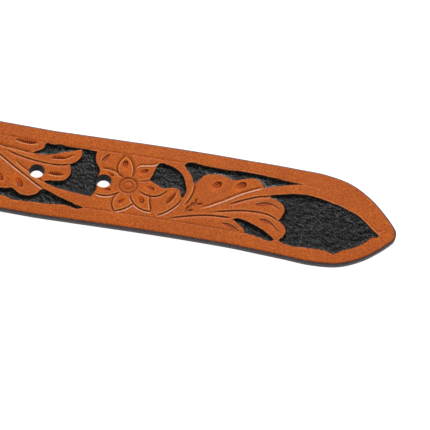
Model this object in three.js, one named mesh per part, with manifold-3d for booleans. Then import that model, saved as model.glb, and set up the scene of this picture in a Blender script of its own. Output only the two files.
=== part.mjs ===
// A western belt of tooled leather that lies flat with its face up, about 1.1 m long.
// Lengths are in millimetres. The belt runs along X with its tip towards +X, and +Z is up from the surface it lies on.
// Places along the belt are first given from the point of the tip, which is 0, so they are negative.

import * as THREE from "three";
import { mergeVertices } from "three/addons/utils/BufferGeometryUtils.js";
import Module from "manifold-3d";

// Strap
const STRAP_WIDTH = 38.1;
const STRAP_THICKNESS = 3.0;
const TIP_LENGTH = 60;
const BELT_SIZE = 914; // middle hole to buckle bar

// Holes
const HOLE_COUNT = 5;
const HOLE_SPACING = 25.4;
const HOLE_DIAMETER = 6.0;
const HOLE_SIDES = 16;
const TIP_TO_FIRST_HOLE = 111.1;
const HOLE_ROW_OFFSET = -0.35; // the row sits a little nearer one edge

// The free end curls down, so the strap stands off the surface in a low arch behind the tip
const ARCH_LENGTH = 134;
const ARCH_RISE = 3.5;
const ARCH_LEAN = 0.9; // below 1 the crest lies nearer the tip
const ARCH_FULLNESS = 1.125;
const ARCH_STEPS = 16;

// Tooling
const PANEL_HALF_WIDTH = 13;
const PATTERN_REPEAT = 81;
const TIP_TO_FLOWER = 101.8;
const FIELD_DEPTH = 0.8;
const PLAIN_END = 75; // untooled leather in front of the buckle bar

// Fold round the buckle bar
const FOLD_LENGTH = 62;
const FOLD_THICKNESS = 2.0; // the folded end is skived thinner than the strap
const FOLD_END_THICKNESS = 1.0;
const SKIVE_LENGTH = 12;
const RAMP_LENGTH = 30;
const EYE_LENGTH = 14;
const PRONG_SLOT_WIDTH = 7;
const PRONG_SLOT_LENGTH = 10;
const WRAP_STEPS = 10;

// Keeper loop
const KEEPER_WIDTH = 12;
const KEEPER_THICKNESS = 1.6;
const KEEPER_FROM_BAR = 31; // middle of the loop
const KEEPER_SIDE_CLEARANCE = 0.6;
const KEEPER_ROOM = 4.6; // room over the strap for the tip to pass
const KEEPER_CORNER = 2.4;
const KEEPER_RAMP = 6;

// Buckle
const BAR_DIAMETER = 4;
const ROD_SIDES = 16;
const BUCKLE_INNER_WIDTH = 40;
const BUCKLE_REACH = 34; // bar to the inside of the toe
const RAIL_WIDTH = 6;
const TOE_WIDTH = 7;
const FRAME_THICKNESS = 4;
const FRAME_CORNER = 12;
const FRAME_BEVEL = 0.8;
const HEEL_LENGTH = 3.5; // side rails past the bar
const PRONG_WIDTH = 4.6;
const PRONG_THICKNESS = 2.4;
const PRONG_TIP_THICKNESS = 1.5;
const PRONG_SEAT = 0.2; // how deep the prong beds into the toe
const PRONG_EYE_WALL = 1.6;
const PRONG_OVERLAP = 6; // how far the prong lies on the toe

const GAP = 0.3; // between pieces that touch

// Half width of the tip as a share of the strap's, at shares of the tip's length back from its point
const TIP_ROWS = [
  { back: 0.0, half: 0.0 },
  { back: 0.033, half: 0.177 },
  { back: 0.1, half: 0.429 },
  { back: 0.2, half: 0.704 },
  { back: 0.333, half: 0.933 },
  { back: 0.5, half: 1.025 },
  { back: 0.667, half: 1.021 },
  { back: 0.833, half: 1.013 },
  { back: 1.0, half: 1.0 },
];
const TIP_STEPS = 24;

// The tooling is drawn on a chart of squares: so many to one repeat along the belt, and so many from the
// middle of the belt to the edge of the tooled panel. Each corner of a field is [along, across], counted
// from the middle of a flower, with the tip at the high end.
const SQUARES_ALONG = 81;
const SQUARES_ACROSS = 13;
const TIP_FIELD = [
  [52, 5], [57, 6.5], [62, 8], [67, 8.5], [76, 7.5], [82, 6], [88, 3.5], [92, 0], [95, -2], [91, -5], [87, -9.5],
  [82, -12], [79, -14.5], [76, -13.5], [61, -14], [58.5, -13], [60.5, -9], [59, -6], [57, -5], [59, 0], [56.5, 3],
];
const SCROLL_FIELD = [
  [40.5, -8], [45, -7.5], [51, -9.5], [57, -13.5], [54, -14], [46, -13], [44, -10],
];
const PETAL_FIELD = [
  [9, 10], [10.5, 11], [15, 10.5], [17.5, 9], [19.5, 7], [21.5, 1.5], [21, -2.5], [20, -2.5], [19, 1], [13.5, 0.5],
  [7.5, 3], [8.5, 8.5],
];
const LEAF_FIELD = [
  [19, 12], [20.5, 13], [52, 13], [64.5, 13], [57, 10.5], [50, 8], [48.5, 10.5], [45, 11], [39, 9], [32, 10],
  [28, 9], [26, 7], [24.5, 4], [23, 7], [20.5, 10],
];
const ROOT_FIELD = [
  [-14, 12], [-13.5, 7], [-11.5, 4], [-12, -2], [-11.5, -5], [-13, -8], [-23, -6.5], [-31.5, -4], [-25, -3],
  [-22, 2], [-23, 5], [-20.5, 7], [-20, 11.5], [-22, 11.5], [-28, 9], [-38, 7], [-34, 10.5], [-33.5, 13], [-20, 12.5],
];

// Worked out from the sizes above
const firstHole = -TIP_TO_FIRST_HOLE;
const middleHole = firstHole - ((HOLE_COUNT - 1) / 2) * HOLE_SPACING;
const barPlace = middleHole - BELT_SIZE;
const eyeRadius = BAR_DIAMETER / 2 + GAP;
const barHeight = FOLD_THICKNESS + eyeRadius;
const doubledHeight = FOLD_THICKNESS + STRAP_THICKNESS;
const keeperLift = KEEPER_THICKNESS + 2 * GAP;
const toePlace = BUCKLE_REACH + TOE_WIDTH;
const beltLength = toePlace - barPlace;
const wideEnough = STRAP_WIDTH * 2; // cutters reach past both edges
const tallEnough = 60;

const wasm = await Module();
wasm.setup();

function toSolid(geometry) {
  const bare = geometry.clone();
  bare.deleteAttribute("normal");
  bare.deleteAttribute("uv");
  const merged = mergeVertices(bare, 1e-4);
  return new wasm.Manifold(
    new wasm.Mesh({
      numProp: 3,
      vertProperties: new Float32Array(merged.attributes.position.array),
      triVerts: new Uint32Array(merged.index.array),
    }),
  );
}

function toGeometry(solid) {
  const mesh = solid.getMesh();
  const geometry = new THREE.BufferGeometry();
  geometry.setAttribute("position", new THREE.BufferAttribute(mesh.vertProperties, 3));
  geometry.setIndex(new THREE.BufferAttribute(mesh.triVerts, 1));
  geometry.computeVertexNormals();
  return geometry;
}

function joined(solids) {
  return solids.reduce((sum, next) => sum.add(next));
}

// A shape drawn in plan, X and Y, from one height to another
function planSolid(shape, low, high) {
  const geometry = new THREE.ExtrudeGeometry(shape, { depth: high - low, bevelEnabled: false });
  return toSolid(geometry.translate(0, 0, low));
}

// A shape drawn from the side, X and Z, centred on the belt's middle line
function sideSolid(shape, width) {
  const geometry = new THREE.ExtrudeGeometry(shape, { depth: width, bevelEnabled: false });
  return toSolid(geometry.rotateX(Math.PI / 2).translate(0, width / 2, 0));
}

function polygon(points) {
  return new THREE.Shape(points.map(([x, y]) => new THREE.Vector2(x, y)));
}

// Height of the strap's underside above the surface, at a place from the tip
function archHeight(place) {
  const share = Math.min(Math.max(-place / ARCH_LENGTH, 0), 1);
  return ARCH_RISE * Math.abs(Math.sin(Math.PI * share ** ARCH_LEAN)) ** ARCH_FULLNESS;
}

// Places from the end of the arch to the tip
function archPlaces() {
  return Array.from({ length: ARCH_STEPS + 1 }, (_, i) => -ARCH_LENGTH * (1 - i / ARCH_STEPS));
}

function strapPlan() {
  const rows = TIP_ROWS.map(
    ({ back, half }) => new THREE.Vector2(-back * TIP_LENGTH, (half * STRAP_WIDTH) / 2),
  );
  const mirrored = rows.slice(1).map(({ x, y }) => new THREE.Vector2(x, -y));
  const around = new THREE.SplineCurve([...rows.reverse(), ...mirrored]).getPoints(2 * TIP_STEPS);
  const end = barPlace - barHeight - tallEnough;
  return polygon([[end, STRAP_WIDTH / 2], ...around.map(({ x, y }) => [x, y]), [end, -STRAP_WIDTH / 2]]);
}

// The strap seen from the side: the arch, the flat run, the ramp over the folded end and the wrap round the bar
function strapSide() {
  const arch = archPlaces();
  const rampStart = barPlace + FOLD_LENGTH + RAMP_LENGTH;
  const foldEnd = barPlace + FOLD_LENGTH;
  const keeperLow = barPlace + KEEPER_FROM_BAR - KEEPER_WIDTH / 2 - GAP;
  const keeperHigh = barPlace + KEEPER_FROM_BAR + KEEPER_WIDTH / 2 + GAP;
  const eyeAngle = 2 * Math.atan(eyeRadius / EYE_LENGTH);
  const wrapTop = Math.PI / 2 - eyeAngle;
  const wrapBottom = (3 * Math.PI) / 2;
  const wrap = Array.from({ length: WRAP_STEPS + 1 }, (_, i) => {
    const share = i / WRAP_STEPS;
    const angle = wrapBottom + (wrapTop - wrapBottom) * share;
    const radius = eyeRadius + FOLD_THICKNESS + (STRAP_THICKNESS - FOLD_THICKNESS) * share;
    return [barPlace + radius * Math.cos(angle), barHeight + radius * Math.sin(angle)];
  });
  const [wrapEnd, wrapEndHeight] = wrap[WRAP_STEPS];
  const eyeClosed = wrapEnd + (wrapEndHeight - doubledHeight) / Math.tan(eyeAngle);
  const outline = [
    ...arch.map((x) => [x, archHeight(x)]).reverse(),
    [rampStart, 0],
    [foldEnd, FOLD_END_THICKNESS],
    [foldEnd, 0],
    ...wrap,
    [eyeClosed, doubledHeight],
    [keeperLow - KEEPER_RAMP, doubledHeight],
    [keeperLow, doubledHeight + keeperLift],
    [keeperHigh, doubledHeight + keeperLift],
    [keeperHigh + KEEPER_RAMP, doubledHeight],
    [foldEnd - SKIVE_LENGTH, doubledHeight],
    [foldEnd, FOLD_END_THICKNESS + STRAP_THICKNESS],
    [rampStart, STRAP_THICKNESS],
    ...arch.map((x) => [x, archHeight(x) + STRAP_THICKNESS]),
  ];
  const eye = Array.from({ length: WRAP_STEPS + 1 }, (_, i) => {
    const angle = wrapTop + ((wrapBottom - wrapTop) * i) / WRAP_STEPS;
    return [barPlace + eyeRadius * Math.cos(angle), barHeight + eyeRadius * Math.sin(angle)];
  });
  const keeperSlot = [
    [keeperLow - KEEPER_RAMP, FOLD_THICKNESS],
    [keeperHigh + KEEPER_RAMP, FOLD_THICKNESS],
    [keeperHigh, FOLD_THICKNESS + keeperLift],
    [keeperLow, FOLD_THICKNESS + keeperLift],
  ];
  return {
    outline: polygon(outline),
    openings: [polygon([...eye, [barPlace + EYE_LENGTH, FOLD_THICKNESS]]), polygon(keeperSlot)],
  };
}

// One sunk field, at the flower that it belongs to; every second repeat is turned over across the belt
function fieldSolid(corners, repeat) {
  const side = repeat % 2 ? -1 : 1;
  const flower = -TIP_TO_FLOWER - repeat * PATTERN_REPEAT;
  const points = corners.map(([along, across]) => [
    flower + (along / SQUARES_ALONG) * PATTERN_REPEAT,
    (side * across * PANEL_HALF_WIDTH) / SQUARES_ACROSS,
  ]);
  return planSolid(polygon(points), -tallEnough, tallEnough);
}

// Everything above the floor of the sunk fields, seen from the side
function fieldSkin() {
  const floor = STRAP_THICKNESS - FIELD_DEPTH;
  return polygon([
    [barPlace, floor],
    ...archPlaces().map((x) => [x, archHeight(x) + floor]),
    [0, tallEnough],
    [barPlace, tallEnough],
  ]);
}

function sunkFields() {
  const fields = [fieldSolid(TIP_FIELD, 0), fieldSolid(SCROLL_FIELD, 0)];
  const tooledLength = -barPlace - PLAIN_END - TIP_TO_FLOWER;
  const flowers = Math.floor(tooledLength / PATTERN_REPEAT) + 1;
  for (let repeat = 0; repeat < flowers; repeat++) {
    fields.push(fieldSolid(PETAL_FIELD, repeat), fieldSolid(LEAF_FIELD, repeat));
    if (repeat < flowers - 1) fields.push(fieldSolid(ROOT_FIELD, repeat));
  }
  return joined(fields).intersect(sideSolid(fieldSkin(), wideEnough));
}

function holeCutters() {
  const radius = HOLE_DIAMETER / 2;
  return Array.from({ length: HOLE_COUNT }, (_, i) =>
    toSolid(
      new THREE.CylinderGeometry(radius, radius, tallEnough, HOLE_SIDES)
        .rotateX(Math.PI / 2)
        .translate(firstHole - i * HOLE_SPACING, HOLE_ROW_OFFSET, 0),
    ),
  );
}

function prongSlot() {
  const half = PRONG_SLOT_WIDTH / 2;
  const inner = barPlace + PRONG_SLOT_LENGTH - half;
  const outer = barPlace - barHeight - tallEnough;
  const shape = new THREE.Shape();
  shape.moveTo(outer, -half);
  shape.lineTo(inner, -half);
  shape.absarc(inner, 0, half, -Math.PI / 2, Math.PI / 2, false);
  shape.lineTo(outer, half);
  return planSolid(shape, -tallEnough, tallEnough);
}

function strapGeometry() {
  const { outline, openings } = strapSide();
  const body = sideSolid(outline, wideEnough).intersect(planSolid(strapPlan(), -tallEnough, tallEnough));
  const through = openings.map((shape) => sideSolid(shape, 2 * wideEnough));
  return toGeometry(body.subtract(joined([...through, sunkFields(), ...holeCutters(), prongSlot()])));
}

// A rectangle with round corners, seen along the belt
function roundedLoop(path, halfWidth, low, high, corner) {
  path.moveTo(-halfWidth + corner, low);
  path.lineTo(halfWidth - corner, low);
  path.absarc(halfWidth - corner, low + corner, corner, -Math.PI / 2, 0, false);
  path.absarc(halfWidth - corner, high - corner, corner, 0, Math.PI / 2, false);
  path.absarc(-halfWidth + corner, high - corner, corner, Math.PI / 2, Math.PI, false);
  path.absarc(-halfWidth + corner, low + corner, corner, Math.PI, (3 * Math.PI) / 2, false);
  return path;
}

// The loop's lower leg lies between the strap and its folded end, and its upper leg leaves room for the tip
function keeperGeometry() {
  const innerHalf = STRAP_WIDTH / 2 + KEEPER_SIDE_CLEARANCE;
  const innerLow = FOLD_THICKNESS + GAP + KEEPER_THICKNESS;
  const innerHigh = doubledHeight + keeperLift + KEEPER_ROOM;
  const wall = KEEPER_THICKNESS;
  const inCorner = KEEPER_CORNER - KEEPER_THICKNESS;
  const shape = roundedLoop(new THREE.Shape(), innerHalf + wall, innerLow - wall, innerHigh + wall, KEEPER_CORNER);
  shape.holes.push(roundedLoop(new THREE.Path(), innerHalf, innerLow, innerHigh, inCorner));
  return new THREE.ExtrudeGeometry(shape, { depth: KEEPER_WIDTH, bevelEnabled: false, curveSegments: 4 })
    .rotateX(Math.PI / 2)
    .rotateZ(Math.PI / 2)
    .translate(-KEEPER_WIDTH / 2, 0, 0);
}

// The buckle's own X and Z start at the middle of its bar, with the toe towards -X
function frameSolid() {
  const inner = BUCKLE_INNER_WIDTH / 2;
  const outer = inner + RAIL_WIDTH;
  const round = FRAME_CORNER;
  const inRound = FRAME_CORNER - RAIL_WIDTH;
  const shape = new THREE.Shape();
  shape.moveTo(HEEL_LENGTH, outer);
  shape.lineTo(-toePlace + round, outer);
  shape.absarc(-toePlace + round, outer - round, round, Math.PI / 2, Math.PI, false);
  shape.absarc(-toePlace + round, -outer + round, round, Math.PI, (3 * Math.PI) / 2, false);
  shape.lineTo(HEEL_LENGTH, -outer);
  shape.lineTo(HEEL_LENGTH, -inner);
  shape.lineTo(-BUCKLE_REACH + inRound, -inner);
  shape.absarc(-BUCKLE_REACH + inRound, -inner + inRound, inRound, (3 * Math.PI) / 2, Math.PI, true);
  shape.absarc(-BUCKLE_REACH + inRound, inner - inRound, inRound, Math.PI, Math.PI / 2, true);
  shape.lineTo(HEEL_LENGTH, inner);
  const geometry = new THREE.ExtrudeGeometry(shape, {
    depth: FRAME_THICKNESS - 2 * FRAME_BEVEL,
    bevelThickness: FRAME_BEVEL,
    bevelSize: FRAME_BEVEL,
    bevelOffset: -FRAME_BEVEL,
    bevelSegments: 2,
    curveSegments: 8,
  });
  return toSolid(geometry.translate(0, 0, FRAME_BEVEL - FRAME_THICKNESS / 2));
}

function acrossCylinder(radius, length) {
  return toSolid(new THREE.CylinderGeometry(radius, radius, length, ROD_SIDES));
}

function prongSolid() {
  const eye = BAR_DIAMETER / 2 + PRONG_EYE_WALL;
  const onToe = FRAME_THICKNESS / 2 - PRONG_SEAT;
  const tip = -BUCKLE_REACH - PRONG_OVERLAP;
  const shaft = polygon([
    [0, eye],
    [tip, onToe + PRONG_TIP_THICKNESS],
    [tip, onToe],
    [0, eye - PRONG_THICKNESS],
  ]);
  return acrossCylinder(eye, PRONG_WIDTH).add(sideSolid(shaft, PRONG_WIDTH));
}

function buckleGeometry() {
  const bar = acrossCylinder(BAR_DIAMETER / 2, BUCKLE_INNER_WIDTH + RAIL_WIDTH);
  return toGeometry(joined([frameSolid(), bar, prongSolid()]));
}

// The toe rests on the surface while the bar sits higher, in the fold
function buckleTilt() {
  const reach = toePlace - FRAME_BEVEL;
  const below = FRAME_THICKNESS / 2;
  return Math.asin(barHeight / Math.hypot(reach, below)) - Math.atan(below / reach);
}

function addPiece(parent, name, geometry, material) {
  const mesh = new THREE.Mesh(geometry, material);
  mesh.name = name;
  parent.add(mesh);
  return mesh;
}

const tooledLeather = new THREE.MeshStandardMaterial({ color: 0xb95d28, roughness: 0.55, metalness: 0 });
const keeperLeather = new THREE.MeshStandardMaterial({ color: 0xa9531f, roughness: 0.6, metalness: 0 });
const buckleMetal = new THREE.MeshStandardMaterial({ color: 0xb8b4ac, roughness: 0.35, metalness: 1 });

// The belt is shifted so that the middle of its whole length is at the origin
const belt = new THREE.Group();
belt.position.x = beltLength / 2;
addPiece(belt, "strap", strapGeometry(), tooledLeather);
const keeper = addPiece(belt, "keeper", keeperGeometry(), keeperLeather);
keeper.position.x = barPlace + KEEPER_FROM_BAR;
const buckle = addPiece(belt, "buckle", buckleGeometry(), buckleMetal);
buckle.position.set(barPlace, 0, barHeight);
buckle.rotation.y = -buckleTilt();

const whole = new THREE.Group();
whole.add(belt);

export default whole;
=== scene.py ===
# Looks of a western belt of tooled leather, lying flat with its face up
import math

import bmesh
import bpy
import numpy as np
from mathutils import Matrix, Vector
from mathutils.geometry import delaunay_2d_cdt


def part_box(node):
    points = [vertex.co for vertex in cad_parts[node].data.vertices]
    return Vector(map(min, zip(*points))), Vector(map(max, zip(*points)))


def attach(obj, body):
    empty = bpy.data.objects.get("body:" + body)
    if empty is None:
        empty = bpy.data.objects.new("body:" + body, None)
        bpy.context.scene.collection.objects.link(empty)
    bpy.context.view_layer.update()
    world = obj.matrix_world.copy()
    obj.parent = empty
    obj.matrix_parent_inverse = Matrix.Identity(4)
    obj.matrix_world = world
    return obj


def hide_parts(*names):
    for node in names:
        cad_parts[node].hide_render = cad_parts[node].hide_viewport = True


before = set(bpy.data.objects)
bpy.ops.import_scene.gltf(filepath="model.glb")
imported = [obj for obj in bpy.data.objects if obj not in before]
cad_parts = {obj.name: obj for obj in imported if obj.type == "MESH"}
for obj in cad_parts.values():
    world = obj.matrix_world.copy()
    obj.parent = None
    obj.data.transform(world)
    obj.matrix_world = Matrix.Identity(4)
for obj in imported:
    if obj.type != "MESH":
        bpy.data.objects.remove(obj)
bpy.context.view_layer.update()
mm = 0.001

# Places along the belt are in millimetres from the point of the tip, so they are negative
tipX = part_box("strap")[1].x / mm


# Camera and light

cameraSettings = {
    "azimuth": 3.72,
    "elevation": 58.21,
    "roll": 7.08,
    "distance": 800.0,
    "aimAlong": -68.14,  # from the tip
    "aimAcross": -3.59,
    "focalPixels": 2148.55,
    "imagePixels": 430,
    "sensor": 36.0,
    "clip": (0.01, 50),
}


def makeCamera(c):
    azimuth, elevation, roll = (math.radians(c[k]) for k in ("azimuth", "elevation", "roll"))
    back = Vector((
        math.sin(azimuth) * math.cos(elevation),
        -math.cos(azimuth) * math.cos(elevation),
        math.sin(elevation),
    ))
    levelRight = Vector((math.cos(azimuth), math.sin(azimuth), 0))
    levelUp = back.cross(levelRight)
    right = levelRight * math.cos(roll) + levelUp * math.sin(roll)
    up = levelUp * math.cos(roll) - levelRight * math.sin(roll)
    aim = Vector((tipX + c["aimAlong"], c["aimAcross"], 0)) * mm
    data = bpy.data.cameras.new("camera")
    data.sensor_width = c["sensor"]
    data.lens = c["sensor"] * c["focalPixels"] / c["imagePixels"]
    data.clip_start, data.clip_end = c["clip"]
    camera = bpy.data.objects.new("camera", data)
    turn = Matrix((right, up, back)).transposed()
    camera.matrix_world = Matrix.Translation(aim + back * c["distance"] * mm) @ turn.to_4x4()
    bpy.context.scene.collection.objects.link(camera)
    bpy.context.scene.camera = camera


lightPanels = {
    "far": {"at": (-70, 760, 350), "size": (700, 200), "power": 9.5},
    "near": {"at": (-160, -560, 640), "size": (600, 400), "power": 1.3},
}
lightSettings = {"aimAlong": -80, "world": 0.36, "floorGlow": 0.95}


def makeLight(name, at, size, power):
    data = bpy.data.lights.new(name, "AREA")
    data.shape = "RECTANGLE"
    data.size, data.size_y = size[0] * mm, size[1] * mm
    data.energy = power
    light = bpy.data.objects.new(name, data)
    place = Vector((tipX + at[0], at[1], at[2])) * mm
    aim = Vector((tipX + lightSettings["aimAlong"], 0, 0)) * mm
    light.location = place
    light.rotation_euler = (aim - place).to_track_quat("-Z", "Y").to_euler()
    bpy.context.scene.collection.objects.link(light)


def makeWorld(strength):
    world = bpy.data.worlds.new("studio")
    world.use_nodes = True
    background = world.node_tree.nodes["Background"]
    background.inputs["Color"].default_value = (1, 1, 1, 1)
    background.inputs["Strength"].default_value = strength
    bpy.context.scene.world = world
    bpy.context.scene.view_settings.view_transform = "Standard"


# Shared helpers for curves and meshes

tiny = 1e-9
farAway = 1e9
weldDistance = 0.002


def smoothLine(points, step=0.4, closed=False, sharpTurn=50):
    # Dense points on a curve through the given ones; turns sharper than sharpTurn degrees stay corners
    p = np.array(points, float)
    count = len(p)
    if closed:
        before, after = np.roll(p, 1, 0), np.roll(p, -1, 0)
    else:
        before, after = np.vstack([p[:1] * 2 - p[1:2], p[:-1]]), np.vstack([p[1:], p[-1:] * 2 - p[-2:-1]])
    into, out = p - before, after - p
    into /= np.linalg.norm(into, axis=1, keepdims=True) + tiny
    out /= np.linalg.norm(out, axis=1, keepdims=True) + tiny
    sharp = (into * out).sum(1) < math.cos(math.radians(sharpTurn))
    along = into + out
    along /= np.linalg.norm(along, axis=1, keepdims=True) + tiny
    dense = []
    for i in range(count if closed else count - 1):
        j = (i + 1) % count
        chord = p[j] - p[i]
        length = np.linalg.norm(chord)
        start = chord if sharp[i] else along[i] * length
        end = chord if sharp[j] else along[j] * length
        t = np.linspace(0, 1, max(1, math.ceil(length / step)) + 1)[:-1, None]
        dense.append(
            p[i] * (2 * t**3 - 3 * t**2 + 1) + start * (t**3 - 2 * t**2 + t)
            + p[j] * (3 * t**2 - 2 * t**3) + end * (t**3 - t**2)
        )
    if not closed:
        dense.append(p[-1:])
    return np.vstack(dense)


def nearestOn(spots, line, closed=False):
    # For each spot: its distance to the line, the nearest point, the side, 1 on the left of travel and -1 on
    # the right, and the share of the line's length up to there
    ends = np.roll(line, -1, 0) if closed else line[1:]
    starts = line if closed else line[:-1]
    lengths = np.linalg.norm(ends - starts, axis=1)
    travelled = np.concatenate([[0], np.cumsum(lengths)])
    best = np.full(len(spots), farAway)
    point = np.zeros_like(spots)
    side = np.zeros(len(spots))
    share = np.zeros(len(spots))
    for a, b, length, soFar in zip(starts, ends, lengths, travelled):
        if length < 1e-6:
            continue
        way = (b - a) / length
        rel = spots - a
        t = np.clip(rel @ way, 0, length)
        q = a + t[:, None] * way
        d = np.hypot(*(spots - q).T)
        closer = d < best - tiny
        best[closer] = d[closer]
        point[closer] = q[closer]
        side[closer] = np.sign(way[0] * rel[closer, 1] - way[1] * rel[closer, 0])
        share[closer] = (soFar + t[closer]) / travelled[-1]
    return best, point, side, share


def insideOf(spots, line):
    x, y = spots.T
    inside = np.zeros(len(spots), bool)
    for (ax, ay), (bx, by) in zip(line, np.roll(line, -1, 0)):
        if ay == by:
            continue
        crosses = (ay > y) != (by > y)
        inside ^= crosses & (x < (bx - ax) * (y - ay) / (by - ay) + ax)
    return inside


def easeStep(value, low, high):
    t = np.clip((value - low) / (high - low), 0, 1)
    return t * t * (3 - 2 * t)


def roundedSection(width, height, squareness=0.5, count=20):
    # A rounded box seen along the path: across it, and up
    angles = np.linspace(0, 2 * math.pi, count, endpoint=False)
    c, s = np.cos(angles), np.sin(angles)
    return np.column_stack([
        np.sign(c) * np.abs(c) ** squareness * width / 2,
        np.sign(s) * np.abs(s) ** squareness * height / 2,
    ])


def sweep(path, sections, upright, closed=False):
    # A solid along a flat path; each section holds sideways and upright offsets
    path = np.asarray(path, float)
    upright = np.asarray(upright, float)
    if closed:
        way = np.roll(path, -1, 0) - np.roll(path, 1, 0)
    else:
        way = np.gradient(path, axis=0)
    way /= np.linalg.norm(way, axis=1, keepdims=True)
    sideways = np.cross(way, upright)
    sections = np.broadcast_to(sections, (len(path), *np.shape(sections)[-2:]))
    rings = path[:, None] + sections[..., :1] * sideways[:, None] + sections[..., 1:] * upright
    count, size = rings.shape[:2]
    faces = []
    for i in range(count if closed else count - 1):
        j = (i + 1) % count
        for k in range(size):
            n = (k + 1) % size
            faces.append((i * size + k, i * size + n, j * size + n, j * size + k))
    if not closed:
        faces += [tuple(range(size))[::-1], tuple(range((count - 1) * size, count * size))]
    return rings.reshape(-1, 3), faces


def joinParts(parts):
    verts, faces, start = [], [], 0
    for v, f in parts:
        verts.append(v)
        faces += [tuple(i + start for i in face) for face in f]
        start += len(v)
    return np.vstack(verts), faces


def makeMesh(name, verts, faces, attributes=None):
    # A mesh object from points in millimetres, with one number at each point for each named array
    mesh = bpy.data.meshes.new(name)
    mesh.from_pydata([tuple(v) for v in np.asarray(verts) * mm], [], faces)
    for key, values in (attributes or {}).items():
        attribute = mesh.attributes.new(key, "FLOAT", "POINT")
        attribute.data.foreach_set("value", np.asarray(values, np.float32))
    solid = bmesh.new()
    solid.from_mesh(mesh)
    bmesh.ops.remove_doubles(solid, verts=solid.verts, dist=weldDistance * mm)
    loose = [v for v in solid.verts if not v.link_faces]
    bmesh.ops.delete(solid, geom=loose, context="VERTS")
    bmesh.ops.recalc_face_normals(solid, faces=solid.faces)
    solid.to_mesh(mesh)
    solid.free()
    piece = bpy.data.objects.new(name, mesh)
    bpy.context.scene.collection.objects.link(piece)
    mesh.polygons.foreach_set("use_smooth", [True] * len(mesh.polygons))
    return piece


# The tooled pattern

# Traced in millimetres: along the belt from the tip, and across it from the middle line
tooling = {
    "repeat": 81.0,
    "panelHalf": 13.0,
    "fieldStep": 0.45,  # between the points of a smoothed outline
    "lineStep": 0.5,
    "fieldDepth": 0.72,
    "fieldWall": 0.35,
    "fieldFillet": 1.3,
    "shallowFrom": (-33.0, -27.0),  # the ground rises towards the tip
    "stampSlant": -30,
    "stampSize": (1.15, 0.75),
    "stampRise": 0.3,
    "borderCut": 0.14,
    "borderFrom": -37.0,
    "borderFadeIn": 3.0,
    "cutShare": 0.62,
    "pastFlower": 14.0,  # the panel goes on this far past the last flower
    "plainEnd": 75.0,  # untooled leather in front of the buckle bar
}


def makeCut(line, depth, left, right, stain=1.0, pale=0.3):
    # Left and right: how wide the leather slopes to the line on each side of its travel. Stain: how strong
    # its burnt line is; the last argument: how strong the painted highlight is on the slope that faces the
    # far lamp
    return {"line": line, "depth": depth, "left": left, "right": right, "stain": stain, "pale": pale}


def makeVein(line, teeth, teethSide):
    # Teeth: where along the line they begin and end, on its left (1) or on its right (-1)
    return {"line": line, "teeth": teeth, "teethSide": teethSide}


def makeSeed(at, size, angle):
    return {"at": at, "size": size, "angle": angle}


tipFields = {
    "tip": [
        (-49.5, 5.2), (-45, 6.6), (-40, 8.0), (-35, 8.6), (-30, 8.2), (-25.5, 7.4), (-22.5, 6.9),
        (-20, 6.0), (-16.5, 4.9), (-14, 3.4), (-12, 1.9), (-10, 0.2), (-8.5, -0.9), (-6.9, -2.0),
        (-7.5, -2.9), (-9.5, -3.7), (-10.5, -4.7), (-12.5, -7.2), (-15, -9.3), (-17.5, -10.8),
        (-20, -12.2), (-21.5, -13.6), (-22.8, -14.4), (-24.5, -13.8), (-26, -13.4), (-32, -14.0),
        (-41, -14.2), (-43.2, -13.2), (-41.6, -10.7), (-41.2, -9), (-41.8, -7.3), (-43, -5.9),
        (-44.7, -5.0), (-43.8, -3.5), (-43.2, -1.5), (-43.0, 0.3), (-43.8, 2.0), (-45.5, 3.2),
        (-47.5, 3.9), (-48.8, 4.4),
    ],
    "underScroll": [
        (-61.3, -7.9), (-59.5, -7.2), (-57, -7.5), (-54, -8.4), (-51, -9.5), (-48, -11.0), (-46, -12.4),
        (-44.8, -13.3), (-46, -14.3), (-48, -14.2), (-50, -13.7), (-53, -13.2), (-55.7, -12.9),
        (-56.5, -11.4), (-58, -10.2), (-60, -8.9),
    ],
}
leafField = [
    (-82.8, 11.8), (-81.5, 13.2), (-75, 13.0), (-65, 12.9), (-62.5, 13.3), (-50, 13.2), (-42, 12.8),
    (-37.5, 12.9), (-40, 12.2), (-45, 10.6), (-50, 8.7), (-52, 7.8), (-52.5, 9.3), (-53.5, 10.3),
    (-55, 11.0), (-57, 11.1), (-59, 10.5), (-61, 9.7), (-63, 9.0), (-65, 9.2), (-67, 9.9), (-69.5, 10.2),
    (-72, 9.8), (-74, 9.2), (-75, 8.3), (-76, 6.8), (-76.8, 5.3), (-77.5, 4.2), (-78.2, 5.0),
    (-78.8, 6.8), (-79.8, 8.3), (-81.5, 10.2),
]
petalField = [
    (-92.5, 10.2), (-91.3, 11.2), (-89.5, 11.0), (-87, 10.3), (-84.5, 9), (-82.3, 6.8), (-81, 4),
    (-80.2, 1.5), (-80.2, -0.5), (-80.8, -2.4), (-81.5, -2.6), (-82, -0.6), (-83, 0.9), (-84.5, 1.2),
    (-86, 1.0), (-88.5, 0.3), (-91, 1.3), (-94.4, 2.9), (-93.6, 5.6), (-93, 8.4),
]
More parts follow.
